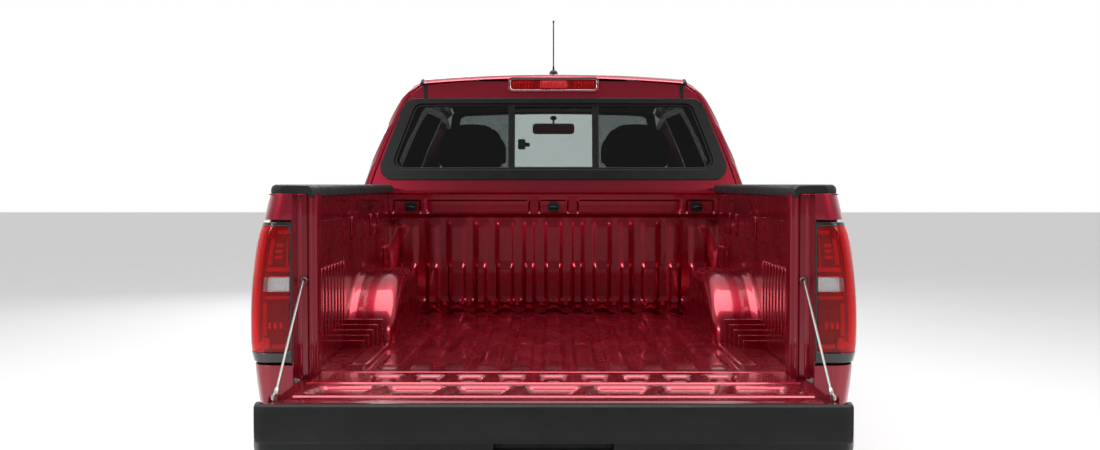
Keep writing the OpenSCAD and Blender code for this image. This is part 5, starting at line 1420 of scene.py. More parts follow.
def build_hood():
    wide = 503.0
    front = [(w, float(hood_edge(w)) + 4) for w in np.linspace(-wide, wide, 34)]
    right = [(float(hood_half(s)), s) for s in np.linspace(160, S_COWL - 6, 50)]
    rear = [(w, S_COWL - 62 + 60 * (w / 742) ** 2) for w in np.linspace(690, -690, 30)]
    left = [(-float(hood_half(s)), s) for s in np.linspace(S_COWL - 6, 160, 50)]
    loop = refine(np.array(front + right + rear + left), 40)
    skin = slab(hood_skin, loop, [], 0, 4.5, 26, 2.2)
    edge = np.linspace(-wide, wide, 34)
    lip = slab(hood_skin, np.array([(w * 0.992, float(hood_edge(w)) + 4.5) for w in edge] + [(w * 0.976,
            float(hood_edge(w)) + 34) for w in edge[::-1]]), [], 3, 40, 30, 4)
    cells = [rounded([[s1 * a, 420], [s1 * b, 420], [s1 * b, 720], [s1 * a, 720]], 40) for s1 in (-1, 1) for a,
            b in ((60, 300), (340, 580))]
    cells += [rounded([[s1 * a, 770], [s1 * b, 770], [s1 * b, 1130], [s1 * a, 1130]], 40) for s1 in (-1, 1) for a,
            b in ((60, 320), (360, 620))]
    inner = slab(hood_skin, grow(loop, -22), cells, 7, 26, 40, 6)
    piece("hood_panel", [skin, lip, inner], M["cherry_paint"], body="hood", replaces="hood", slot="body_paint")
    pads = [slab(hood_skin, grow(q, 12), [], 6, 12, 60, 3) for q in cells]
    piece("hood_liner", pads, M["loop_carpet"], body="hood", slot="carpet")
    jets = [slab(hood_skin, rect(y - 12, y + 12, S_COWL - 150, S_COWL - 128, 7), [], -7, 3, 60, 3) for y in (-260, 260)]
    piece("washer_jets", jets, M["satin_black"], body="hood", slot="black_plastic")


def fender_face(s, v):
    """The fender: up its side, round its shoulder and in towards the hood. v is the height, then the distance along it."""
    top = hood_at(s, hood_half(s) + GAP)
    za, r = top - 70, 70.0
    w = low_side(s, za)
    a = np.clip((v - za) / r, 0, math.pi / 2)
    side = low_side(s, np.minimum(v, za))
    y = np.where(v < za, side, w - r + r * np.cos(a) - pos(v - za - r * math.pi / 2))
    return points(s, y, np.where(v < za, v, za + r * np.sin(a)))


def fender_top_v(s):
    top = float(hood_at(s, hood_half(s) + GAP))
    za = top - 70
    return za + 70 * math.pi / 2 + float(low_side(s, za)) - 70 - float(hood_half(s)) - GAP


def build_fenders():
    top = [(s, fender_top_v(s)) for s in np.linspace(S_COWL + 62, 186, 46)]
    arch = [p for p in arc(S_FA, WHEEL_Z, ARCH_R, -83.4, 83.4, 56)]
    pts = [(S_DOOR - 9, 430), (S_DOOR - 9, 994), (S_COWL + 62, 994)] + top + [(178, 914), (292, 914), (292, 797), (323, 797),
            (323, 430)] + arch
    skin = slab(fender_face, refine(np.array(pts), 22), [], 0, 10, 24, 3)
    liner = [np.array([(X_FRONT - s, y, z) for s, z in arc(S_FA, WHEEL_Z, ARCH_R + r, -84, 84, 40)]) for y,
            r in ((905, 2), (890, 6), (640, 6), (640, 10), (905, 9))]
    rows = [[tuple(row[k]) for row in liner] for k in range(40)]
    lip = slab(bed_face, np.array(arc(S_FA, WHEEL_Z, ARCH_R + 9, -84, 84, 50) + arc(S_FA, WHEEL_Z, ARCH_R + 0.5, 84, -84, 50)), [], -2,
            16, 60, 3)
    marker = slab(fender_face, rect(S_FA - 560, S_FA - 470, 815, 850, 12), [], -2, 3, 40, 2)
    for side, name in SIDES:
        piece(f"fender_{name}", [skin], M["cherry_paint"], replaces="front_fenders" if side == LEFT else (), slot="body_paint", side=side)
        piece(f"arch_liner_{name}", [loft(rows)], M["grained_plastic"], slot="black_plastic", side=side)
        piece(f"arch_lip_{name}", [lip], M["cherry_paint"], slot="body_paint", side=side)
        piece(f"side_marker_{name}", [marker], M["amber_reflector"], slot="lamp_clear", side=side)


def build_bumper():
    u = nose_u(68.4)
    outer = rounded([[-u, 332], [u, 332], [u, 789], [506, 789], [492, 696], [-492, 696], [-506, 789], [-u, 789]],
            [16, 16, 12, 20, 24, 24, 20, 12], 24)
    lower = rounded([[-420, 430], [420, 430], [470, 560], [-470, 560]], 16)
    fogs = [rounded([[k * a, 470] for a in (560, 660)] + [[k * 650, 560], [k * 575, 560]], 20) for k in (-1, 1)]
    holder = rect(-161, 161, 584, 671, 9)
    skin = slab(nose_face, outer, [lower, holder] + fogs, 0, 30, 26, 7)
    piece("front_bumper_skin", [skin], M["cherry_paint"], replaces="front_bumper", slot="body_paint")
    dark = [slab(nose_face, grow(lower, 8), [], 30, 38, 60, 2)] + [slab(nose_face, grow(q, 6), [], 22, 30, 60, 2) for q in fogs]
    dark += [slab(nose_face, rect(-455, 455, z, z + 13, 5), [], 10, 32, 60, 3) for z in (462, 490, 518)]
    dark += [slab(nose_face, rect(y, y + 10, 434, 556, 4), [], 14, 32, 60, 3) for y in np.linspace(-400, 390, 12)]
    dark += [slab(nose_face, rounded([[-700, 334], [700, 334], [660, 372], [-660, 372]], 10), [], -3, 8, 40, 4)]
    piece("lower_grille", dark, M["grained_plastic"], slot="black_plastic")
    lens = [slab(nose_face, circle(k * 612, 516, 34), [], 10, 14, 60, 1.5) for k in (-1, 1)]
    cups = [slab(nose_face, circle(k * 612, 516, 38), [circle(k * 612, 516, 30)], 7, 16, 60, 2.5) for k in (-1, 1)]
    cups += [slab(nose_face, circle(k * 612, 516, 26), [], 17, 24, 60, 6) for k in (-1, 1)]
    piece("fog_lamps", lens, M["clear_lens"], slot="lamp_clear")
    piece("fog_bezels", cups, M["bright_reflector"], slot="steel")
    hooks = []
    for k in (-1, 1):
        hooks.append(tube([(X_FRONT - 40, k * 372, 446), (X_FRONT - 14, k * 372, 446), (X_FRONT - 8, k * 372, 460),
                (X_FRONT - 14, k * 372, 474), (X_FRONT - 60, k * 372, 474)], 7, 12))
    piece("tow_hooks", hooks, M["satin_black"], slot="steel")
    plate = slab(nose_face, grow(holder, -1.5), [], 1, 12, 60, 2)
    piece("front_plate_holder", [plate], M["grained_plastic"], slot="black_plastic")


def build_grille():
    u, z0, z1 = nose_u(26.5), 698.0, 904.0
    frame_ = rounded([[-u, z0 + 2], [u, z0 + 2], [u, z1], [-u, z1]], [22, 22, 10, 10])
    opening = rounded([[-u + 44, z0 + 30], [u - 44, z0 + 30], [u - 30, z1 - 22], [-u + 30, z1 - 22]], [26, 26, 16, 16])
    parts = [slab(nose_face, frame_, [opening], 0, 42, 40, 9)]
    piece("grille_frame", parts, M["satin_black"], replaces="grille", slot="black_plastic")
    bright = slab(nose_face, grow(opening, 7), [grow(opening, -1)], -3, 9, 40, 4)
    piece("grille_ring", [bright], M["bright_metal"], slot="steel")
    bars = [slab(nose_face, rect(-u + 34, u - 34, z, z + 22, 6), [], 8, 28, 50, 6) for z in (754, 800, 846)]
    bars += [slab(nose_face, rect(y - 3, y + 3, z0 + 28, z1 - 20, 2), [], 26, 42, 60, 2) for y in np.linspace(-u + 60, u - 60, 25)]
    bars += [slab(nose_face, rect(-u + 40, u - 40, z, z + 5, 2), [], 27, 42, 60, 2) for z in (742, 780, 826, 872)]
    piece("grille_bars", bars, M["gloss_black"], slot="gloss_black")


def build_headlamps():
    u0, u1 = nose_u(27.6), nose_u(62.9)
    shape = rounded([[u0, 798], [u1 - 40, 806], [u1, 850], [u1 - 6, 903], [u0, 903]], [12, 26, 20, 18, 12])
    lens = slab(nose_face, grow(shape, -1.2), [], 0.5, 4, 30, 1.5)
    tray = slab(nose_face, grow(shape, -1.5), [], 46, 54, 40, 3)
    wall = slab(nose_face, grow(shape, -1.0), [grow(shape, -5)], 4.5, 50, 30, 1.5)
    bez = [slab(nose_face, circle(c, 852, 38), [circle(c, 852, 31)], 14, 40, 60, 3) for c in (lerp(u0, u1, 0.3), lerp(u0, u1, 0.62))]
    bez += [slab(nose_face, rect(u0 + 10, u1 - 40, 812, 816, 1.5), [], 12, 40, 60, 1.5)]
    bulbs = [slab(nose_face, circle(c, 852, 29), [], 18, 36, 60, 8.5) for c in (lerp(u0, u1, 0.3), lerp(u0, u1, 0.62))]
    strip = slab(nose_face, rounded([[u0 + 12, 886], [u1 - 16, 884], [u1 - 16, 893], [u0 + 12, 895]], 3), [], 8, 18, 40, 3)
    turn = slab(nose_face, rounded([[u1 - 50, 826], [u1 - 20, 846], [u1 - 20, 876], [u1 - 46, 876]], 8), [], 12, 30, 40, 4)
    for side, name in SIDES:
        wear = {"side": side}
        piece(f"headlamp_lens_{name}", [lens], M["clear_lens"], replaces="headlamps" if side == LEFT else (), slot="lamp_clear", **wear)
        piece(f"headlamp_tray_{name}", [tray, wall], M["satin_black"], slot="black_plastic", **wear)
        piece(f"headlamp_bezels_{name}", bez, M["bright_metal"], slot="steel", **wear)
        piece(f"headlamp_bulbs_{name}", bulbs + [strip], M["bright_reflector"], slot="lamp_clear", **wear)
        piece(f"headlamp_turn_{name}", [turn], M["amber_reflector"], slot="lamp_clear", **wear)


SHIELD_V = 945.0


def shield_face(y, v):
    t = v / SHIELD_V
    return shield(y / lerp(742, 596, t), t)


def build_windshield():
    edge = rounded([[-721, 6], [721, 6], [580, 930], [-580, 930]], 48)
    piece("windshield_glass", [slab(shield_face, edge, [], 0, 5, 50, 1.5)], M["clear_glass"], replaces="windshield", slot="glass")
    band = slab(shield_face, grow(edge, -2), [grow(rounded([[-676, 62], [676, 62], [540, 884], [-540, 884]], 40), 0)], 5.4, 6.2, 60, 0.3)
    seal_ = slab(shield_face, grow(edge, 5), [grow(edge, -6)], -1.5, 5, 50, 2.5)
    piece("windshield_band", [band, seal_], M["satin_black"], slot="black_plastic")
    wipers = []
    for y0, y1 in ((560, -60), (-40, -560)):
        arm = [shield_face(np.array([lerp(y0, y1, t)]), np.array([lerp(16, 92, t)]))[0] + np.array([12, 0,
                14]) * (0.6 + 0.4 * math.sin(math.pi * t)) for t in np.linspace(0, 0.62, 14)]
        wipers.append(tube(arm, [8, 8, 7] + [4.5] * 11, 10))
        blade = [shield_face(np.array([lerp(y0 - 60, y1, t)]), np.array([lerp(30, 96, t)]))[0] + np.array([5, 0,
                6]) for t in np.linspace(0, 1, 24)]
        wipers.append(tube(blade, 4.0, 8))
    piece("wipers", wipers, M["satin_black"], slot="black_plastic")


def build_rear_bumper():
    path = [(S_TAIL - 188, 894), (S_TAIL + 2, 893)] + [(S_TAIL + 133 - 45 * (y / 860) ** 2, y) for y in np.linspace(858, -858,
            21)] + [(S_TAIL + 2, -893), (S_TAIL - 188, -894)]
    face, length = ribbon(path, 26)
    mid = length / 2

    def skin(u, z):
        n = face_normal(face, u, z)
        return face(u, z) - n * (pos(np.abs(z - 548) - 70) * 0.35)[..., None]
    cut = rect(mid - 36, mid + 36, 456.5, 492, 5)
    step_l = [rounded([[mid + k * a, 600], [mid + k * b, 600], [mid + k * b, 636], [mid + k * a, 636]], 8) for k in (-1, 1) for a,
            b in ((560, 760),)]
    plate = rect(mid - 170, mid + 170, 512, 606, 12)
    body = slab(skin, rounded([[6, 457], [length - 6, 457], [length - 6, 514], [length - 190, 520], [length - 200, 638], [200, 638],
            [190, 520], [6, 514]], [12, 12, 10, 14, 20, 20, 14, 10], 22),
                [cut, plate] + step_l, 0, 26, 30, 7)
    recess = slab(skin, grow(plate, 6), [], 20, 28, 60, 2)
    well = [slab(skin, grow(q, 5), [], 12, 20, 60, 2) for q in step_l]
    piece("rear_bumper_skin", [body], M["satin_black"], replaces="rear_bumper", slot="black_plastic")
    top = [slab(flat("z", 639.6), rounded([[a, S_TAIL + 12], [b, S_TAIL + 12], [b, S_TAIL + 82], [a, S_TAIL + 96]], 8), [], 0, 16, 60,
            3) for a, b in ((-820, -250), (-240, 240), (250, 820))]
    ribs = [block((S_TAIL + 18 + 12 * k, S_TAIL + 23 + 12 * k), (a, b), (638, 641.2), 1.4) for k in range(6) for a,
            b in ((-780, -270), (-220, 220), (270, 780))]
    piece("bumper_step_pads", top + ribs + [recess] + well, M["grained_plastic"], slot="black_plastic")
    blank = slab(skin, rect(mid - 150, mid + 150, 520, 598, 8), [], 15, 18, 60, 1.2)
    piece("plate_blank", [blank], M["grained_plastic"], slot="black_plastic")
    lights = [slab(skin, rect(mid + k * 186 - 8, mid + k * 186 + 8, 545, 575, 4), [], -4, 4, 60, 2) for k in (-1, 1)]
    piece("plate_lamps", lights, M["clear_lens"], slot="lamp_clear")


# ---- Wheels -------------------------------------------------------------------------------------------------------
def tyre_parts():
    r, w, bead = TYRE_D / 2, TYRE_W / 2, 216.0
    prof = [(bead, -w + 22), (bead + 8, -w + 11), (bead + 22, -w + 4), (bead + 50, -w + 0.5), (bead + 85, -w), (bead + 112, -w + 2),
            (r - 40, -w + 7), (r - 24, -w + 13), (r - 15, -w + 22),
            (r - 11, -w + 36), (r - 10.5, 0), (r - 11, w - 36), (r - 15, w - 22), (r - 24, w - 13), (r - 40, w - 7), (bead + 112, w - 2),
                    (bead + 85, w), (bead + 50, w - 0.5),
            (bead + 22, w - 4), (bead + 8, w - 11), (bead, w - 22), (bead - 0.2, 0), (bead, -w + 22)]
    parts = [lathe(prof, (0, 0, 0), n=112)]
    for k in (-1, 1):
        for rr in (bead + 30, bead + 60, bead + 108):
            y = w - 0.2 if rr == bead + 60 else w - 1.8
            parts.append(lathe([(rr - 3, k * (y - 1.5)), (rr - 1, k * y), (rr + 1, k * y), (rr + 3, k * (y - 1.5))][::-k], (0, 0, 0),
                    n=96))
    verts, faces = [], []

    def lug(a, da, y0, y1, r0, r1, skew=0.0):
        base = len(verts)
        for rr, sh in ((r0, 0.0), (r1, 0.12)):
            for yy, aa in ((y0, -da), (y1, -da), (y1, da), (y0, da)):
                t = a + aa * (1 - sh) + skew * (yy - (y0 + y1) / 2)
                yk = (y0 + y1) / 2 + (yy - (y0 + y1) / 2) * (1 - sh * 0.6)
                verts.append((rr * math.sin(t), yk, rr * math.cos(t)))
        f = [(0, 1, 2, 3), (7, 6, 5, 4), (0, 4, 5, 1), (1, 5, 6, 2), (2, 6, 7, 3), (3, 7, 4, 0)]
        faces.extend([[base + i for i in q] for q in f])
    n = 52
    for k in range(n):
        a = 2 * math.pi * k / n
        d = math.pi / n
        lug(a, d * 0.74, -16, 16, r - 12, r - 0.1, 0.0022)
        lug(a + d * 0.5, d * 0.78, 24, 60, r - 12, r - 0.4, -0.0018)
        lug(a + d * 0.5, d * 0.78, -60, -24, r - 12, r - 0.4, -0.0018)
        lug(a, d * 0.8, 68, 100, r - 15, r - 3.2, 0.0008)
        lug(a, d * 0.8, -100, -68, r - 15, r - 3.2, 0.0008)
        for q in (-1, 1):
            lug(a, d * 0.62, q * 112 - 9, q * 112 + 9, r - 34, r - 15 + (3 if k % 2 else 0), 0)
    parts.append((np.array(verts), faces, None))
    return parts


def rim_parts():
    w = TYRE_W / 2
    bead = 215.6
    barrel = [(bead - 2, w - 13), (bead + 0.3, w - 17), (bead - 1, w - 26), (bead - 7, w - 34), (bead - 16, w - 50), (bead - 22, 20),
            (bead - 18, -60), (bead - 6, -w + 32), (bead, -w + 24),
              (bead + 0.3, -w + 18), (bead - 5, -w + 15), (bead - 10, -w + 22), (bead - 22, -60), (bead - 27, 20), (bead - 24, w - 50),
                      (bead - 16, w - 30), (bead - 13, w - 18), (bead - 9, w - 12.5), (bead - 2, w - 13)]
    face = lambda u, v: points_at(u, v)

    def points_at(u, v):
        rr = np.hypot(u, v)
        y = 74 + 18 * np.clip((rr - 60) / 145, 0, 1) ** 1.6 - 9 * np.exp(-(rr / 60) ** 4)
        return np.stack(np.broadcast_arrays(-u, y, v), axis=-1)
    holes = []
    for k in range(6):
        for off, half in ((0, 12.5), (30, 4.2)):
            a = math.radians(60 * k + off)
            r0, r1 = (84, 186) if off == 0 else (104, 188)
            pts = []
            for rr, sg in ((r0, -1), (r1, -1), (r1, 1), (r0, 1)):
                wide = math.radians(half * (1.0 if rr == r1 else 0.72)) * sg
                pts.append((rr * math.cos(a + wide), rr * math.sin(a + wide)))
            holes.append(rounded(pts, 9 if off == 0 else 4, 14))
    disc = slab(face, circle(0, 0, 203, 96), holes, 0, 24, 22, 6)
    hub = lathe([(0.1, 88), (18, 88), (30, 86), (34, 82), (34, 60), (0.1, 60)], (0, 0, 0), n=40)
    nuts = []
    for k in range(6):
        a = math.radians(60 * k + 30)
        c = (58 * math.sin(a), 0, 58 * math.cos(a))
        nuts.append(lathe([(0.1, 80), (7, 80), (9.5, 77), (9.5, 58), (0.1, 58)], c, n=6))
    back = lathe([(0.1, 66), (78, 66), (82, 60), (82, 12), (0.1, 12)], (0, 0, 0), n=60)
    brake = lathe([(0.1, 10.9), (76, 10.9), (78, 8), (78, -10), (150, -10), (152, -12), (152, -16), (146, -17), (146, -29), (152, -30),
            (152, -34), (150, -36), (60, -36), (60, -30), (0.1, -30)], (0, 0, 0), n=72)
    return {"barrel": [lathe(barrel[::-1], (0, 0, 0), n=104), back], "disc": [disc], "hub": [hub], "nuts": nuts, "brake": [brake]}


def build_wheels():
    tyre, rim = tyre_parts(), rim_parts()
    for end, s in (("front", S_FA), ("rear", S_RA)):
        at = lambda group: [moved(p, X_FRONT - s, TRACK / 2, WHEEL_Z) for p in group]
        for side, name in SIDES:
            tag = f"{end}_{name}"
            wear = {"side": side, "body": f"wheel_{tag}"}
            piece(f"tyre_body_{tag}", at(tyre), M["tyre_rubber"], replaces=f"tyre_{tag}", slot="tyre", **wear)
            piece(f"rim_disc_{tag}", at(rim["disc"]), M["painted_alloy"], replaces=f"rim_{tag}", slot="alloy", **wear)
            piece(f"rim_barrel_{tag}", at(rim["barrel"]), M["painted_alloy"], slot="alloy", **wear)
            piece(f"hub_cap_{tag}", at(rim["hub"]), M["gloss_black"], slot="gloss_black", **wear)
            piece(f"wheel_nuts_{tag}", at(rim["nuts"]), M["bright_metal"], slot="steel", **wear)
            piece(f"brake_disc_{tag}", at(rim["brake"]), M["cast_metal"], slot="cast_iron", **wear)


# ---- Cabin ----------------------------------------------------------------------------------------------------------
def cushion(loop, y0, y1, end=30.0):
    """A closed block with the side outline loop (station, height), its two ends rounded over."""
    loop = loop if area(loop) > 0 else loop[::-1]
    ys = [y0 + d for d in (0, 1.5, 5, 11, 19, end)] + list(np.linspace(y0 + end, y1 - end, 30)[1:-1]) + [y1 - d for d in (end, 19, 11, 5,
            1.5, 0)]
    rows = []
    for y in ys:
        e = min(end, y - y0, y1 - y)
        inset = end - math.sqrt(max(0.0, end ** 2 - (end - e) ** 2))
        rows.append([(X_FRONT - s, y, z) for s, z in grow(loop, -0.92 * inset)])
    return loft(rows)


def domed(part, y, half, top):
    """The block with its upper corners drawn down and in to a dome."""
    v, f, n = part
    v = v.copy()
    k = (np.abs(v[:, 1] - y) / half) ** 3.2 * np.clip((v[:, 2] - top + 190) / 190, 0, 1)
    v[:, 2] -= 62 * k
    return v, f, n


def evaluated(ob):
    graph = bpy.context.evaluated_depsgraph_get()
    graph.update()
    return bpy.data.meshes.new_from_object(ob.evaluated_get(graph))


def stuffed(name, parts, replaces, seams, insert, cap=14.0, voxel=11.0, pressure=4.0, mirror=None, swell=1.0):
    """A padded cover: seams are functions of (station, y, height) that are 0 on a sewn line."""
    ob = piece(name, parts, M["seat_cloth"], None)
    mod = ob.modifiers.new("voxels", "REMESH")
    mod.mode, mod.voxel_size, mod.use_smooth_shade = "VOXEL", voxel * 0.001, True
    soft = ob.modifiers.new("soften", "SMOOTH")
    soft.factor, soft.iterations = 0.5, 3
    fine = evaluated(ob)
    ob.modifiers.clear()
    ob.data = fine
    n = len(fine.vertices)
    co = np.empty(n * 3)
    fine.vertices.foreach_get("co", co)
    co = co.reshape(-1, 3)
    no = np.array([tuple(v.normal) for v in fine.vertices])
    at = lambda c: (X_FRONT - c[:, 0] * 1000, c[:, 1] * 1000, c[:, 2] * 1000)
    dist = np.min(np.stack([np.abs(f(*at(co))) for f in seams]), axis=0)
    start = co - no * (0.0045 * np.exp(-(dist / 7.0) ** 2))[:, None]
    fine.vertices.foreach_set("co", start.ravel())
    fine.update()
    hold = ob.vertex_groups.new(name="sewn")
    for k in np.nonzero(dist < 9.0)[0]:
        hold.add([int(k)], 1.0, "REPLACE")
    flat_ = np.nonzero(no[:, 2] < -0.9)[0]
    for k in flat_:
        hold.add([int(k)], 1.0, "REPLACE")
    cloth = ob.modifiers.new("cover", "CLOTH")
    cs = cloth.settings
    cs.quality, cs.mass = 5, 0.3
    cs.tension_stiffness = cs.compression_stiffness = cs.shear_stiffness = 15
    cs.bending_stiffness = 0.4
    cs.use_pressure, cs.uniform_pressure_force = True, pressure
    cs.effector_weights.gravity = 0
    cs.vertex_group_mass = "sewn"
    scene = bpy.context.scene
    for k in range(1, 21):
        scene.frame_set(k)
    blown = evaluated(ob)
    end = np.empty(n * 3)
    blown.vertices.foreach_get("co", end)
    move = end.reshape(-1, 3) - start
    bpy.data.meshes.remove(blown)
    ob.modifiers.clear()
    ob.vertex_groups.clear()
    scene.frame_set(1)
    length = np.linalg.norm(move, axis=1, keepdims=True)
    length[~np.isfinite(length)] = 0
    move[~np.isfinite(move)] = 0
    move *= np.minimum(1.0, cap * 0.001 / np.maximum(length, 1e-9))
    fine.vertices.foreach_set("co", (start + move * swell).ravel())
    fine.update()
    fine.materials.clear()
    fine.materials.append(M["seat_cloth"])
    fine.materials.append(M["seat_insert"])
    for q in fine.polygons:
        c = q.center
        s, y, z = X_FRONT - c[0] * 1000, c[1] * 1000, c[2] * 1000
        if insert(s, y, z) and (q.normal[2] > 0.5 or q.normal[0] > 0.5):
            q.material_index = 1
    fine.shade_smooth()
    out = [ob]
    if mirror:
        twin = fine.copy()
        v = np.empty(n * 3)
        twin.vertices.foreach_get("co", v)
        v = v.reshape(-1, 3) * np.array([1, -1, 1])
        twin.vertices.foreach_set("co", v.ravel())
        twin.flip_normals()
        ob2 = bpy.data.objects.new(mirror, twin)
        bpy.context.collection.objects.link(ob2)
        out.append(ob2)
    for o in out:
        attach(o, "body")
    if replaces:
        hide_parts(replaces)
    return out


def seam_lines(yc, half, stations=(), heights=()):
    lines = [lambda s, y, z, k=k: y - (yc + k * half) for k in (-1, 1)]
    lines += [lambda s, y, z, k=k: np.where(np.abs(y - yc) < half, s - k, 99.0) for k in stations]
    lines += [lambda s, y, z, k=k: np.where(np.abs(y - yc) < half, z - k, 99.0) for k in heights]
    return lines


def build_seats():
    c, y, w = S_FIREWALL + 620, 390.0, 520.0
    base = rounded([[c - 52, 709], [c - 57, 797], [c - 20, 817], [c + 466, 795], [c + 536, 768], [c + 496, 704]], 34, 20)
    back = rounded([[c + 458, 748], [c + 474, 830], [c + 594, 1306], [c + 640, 1334], [c + 686, 1317], [c + 637, 900], [c + 557, 724]],
            34, 20)
    head = rounded([[c + 614, 1380], [c + 624, 1527], [c + 660, 1552], [c + 709, 1537], [c + 719, 1394]], 30, 16)
    insert = lambda s, yy, z: abs(abs(yy) - y) < 150
    stuffed("front_cushion_left", [cushion(base, y - w / 2 + 4, y + w / 2 - 4, 34)], "front_seats",
            seam_lines(y, 152, stations=(c + 70, c + 190, c + 310, c + 425)), insert, mirror="front_cushion_right")
    stuffed("front_back_left", [cushion(back, y - w / 2 + 6, y + w / 2 - 6, 26)], None,
            seam_lines(y, 150, heights=(880, 990, 1100, 1210)), insert, mirror="front_back_right")
    stuffed("front_headrest_left", [domed(cushion(head, y - 140, y + 140, 30), y, 140, 1552)], None, seam_lines(y, 96),
            lambda *a: abs(abs(a[1]) - y) < 94,
            voxel=8, cap=9, mirror="front_headrest_right")
    b = S_CAB - 640
    bench = rounded([[b - 52, 704], [b - 57, 782], [b - 20, 801], [b + 426, 785], [b + 492, 738], [b + 464, 694]], 34, 20)
    rest = rounded([[b + 398, 744], [b + 473, 1267], [b + 508, 1292], [b + 541, 1287], [b + 541, 764], [b + 478, 724]], 30, 20)
    pillow = rounded([[b + 440, 1342], [b + 442, 1530], [b + 478, 1556], [b + 530, 1540], [b + 540, 1350]], 30, 16)
    two = lambda s, yy, z: abs(abs(yy) - 385) < 180
    lines = [lambda s, yy, z, k=k: np.abs(yy) - k for k in (205, 565)]
    lines += [lambda s, yy, z, k=k: np.where(np.abs(np.abs(yy) - 385) < 180, s - k, 99.0) for k in (b + 80, b + 210, b + 340)]
    stuffed("bench_cushion", [cushion(bench, -656, 656, 34)], "rear_seat", lines, two, voxel=13)
    lines = [lambda s, yy, z, k=k: np.abs(yy) - k for k in (130, 565)]
    lines += [lambda s, yy, z, k=k: np.where(np.abs(np.abs(yy) - 345) < 215, z - k, 99.0) for k in (900, 1020, 1140)]
    stuffed("bench_back", [cushion(rest, -655, 655, 24)], None, lines, lambda s, yy, z: abs(abs(yy) - 347) < 212, voxel=13)
    stuffed("rear_headrest_left", [domed(cushion(pillow, 380 - 143, 380 + 143, 30), 380, 143, 1556)], None, seam_lines(380, 98),
            lambda *a: abs(abs(a[1]) - 380) < 96,
            voxel=8, cap=9, mirror="rear_headrest_right")
    posts = [tube([(X_FRONT - c - 664, y + dy, 1300), (X_FRONT - c - 664, y + dy, 1405)], 6.5, 14) for dy in (-60, 60)]
    posts += [tube([(X_FRONT - b - 508, 380 + dy, 1275), (X_FRONT - b - 508, 380 + dy, 1362)], 6.5, 14) for dy in (-50, 50)]
    piece("headrest_posts", both(posts), M["bright_metal"], slot="steel")
    foot = []
    for k in (-1, 1):
        side_ = slab(flat("y", y + k * (w / 2 - 26), 1), rounded([[c - 20, 640], [c + 470, 620], [c + 500, 740], [c + 440, 770],
                [c + 20, 760], [c - 30, 720]], 30), [], 0 if k > 0 else -20, 20 if k > 0 else 0, 60, 6)
        foot.append(side_)
        foot.append(block((c + 10, c + 450), (y + k * 190 - 18, y + k * 190 + 18), (506, 560), 5))
        foot += [block((c + a, c + a + 40), (y + k * 190 - 12, y + k * 190 + 12), (555, 712), 4) for a in (40, 380)]
    knob = lathe([(0.1, y + w / 2 + 4), (24, y + w / 2 + 4), (28, y + w / 2 - 2), (28, y + w / 2 - 16), (0.1, y + w / 2 - 16)],
            (X_FRONT - c - 500, 0, 770), n=30)
    piece("seat_frames", both(foot + [knob]), M["soft_plastic"], slot="dash_plastic")
    belts = []
    for yy in (-170, 170):
        belts.append(block((b + 392, b + 418), (yy - 12, yy + 12), (786, 850), 5))
    for yy in (-115 - 18, 115 + 18):
        belts.append(block((c + 430, c + 458), (yy - 9, yy + 9), (690, 838), 5))
    piece("belt_buckles", belts, M["satin_black"], slot="dash_plastic")


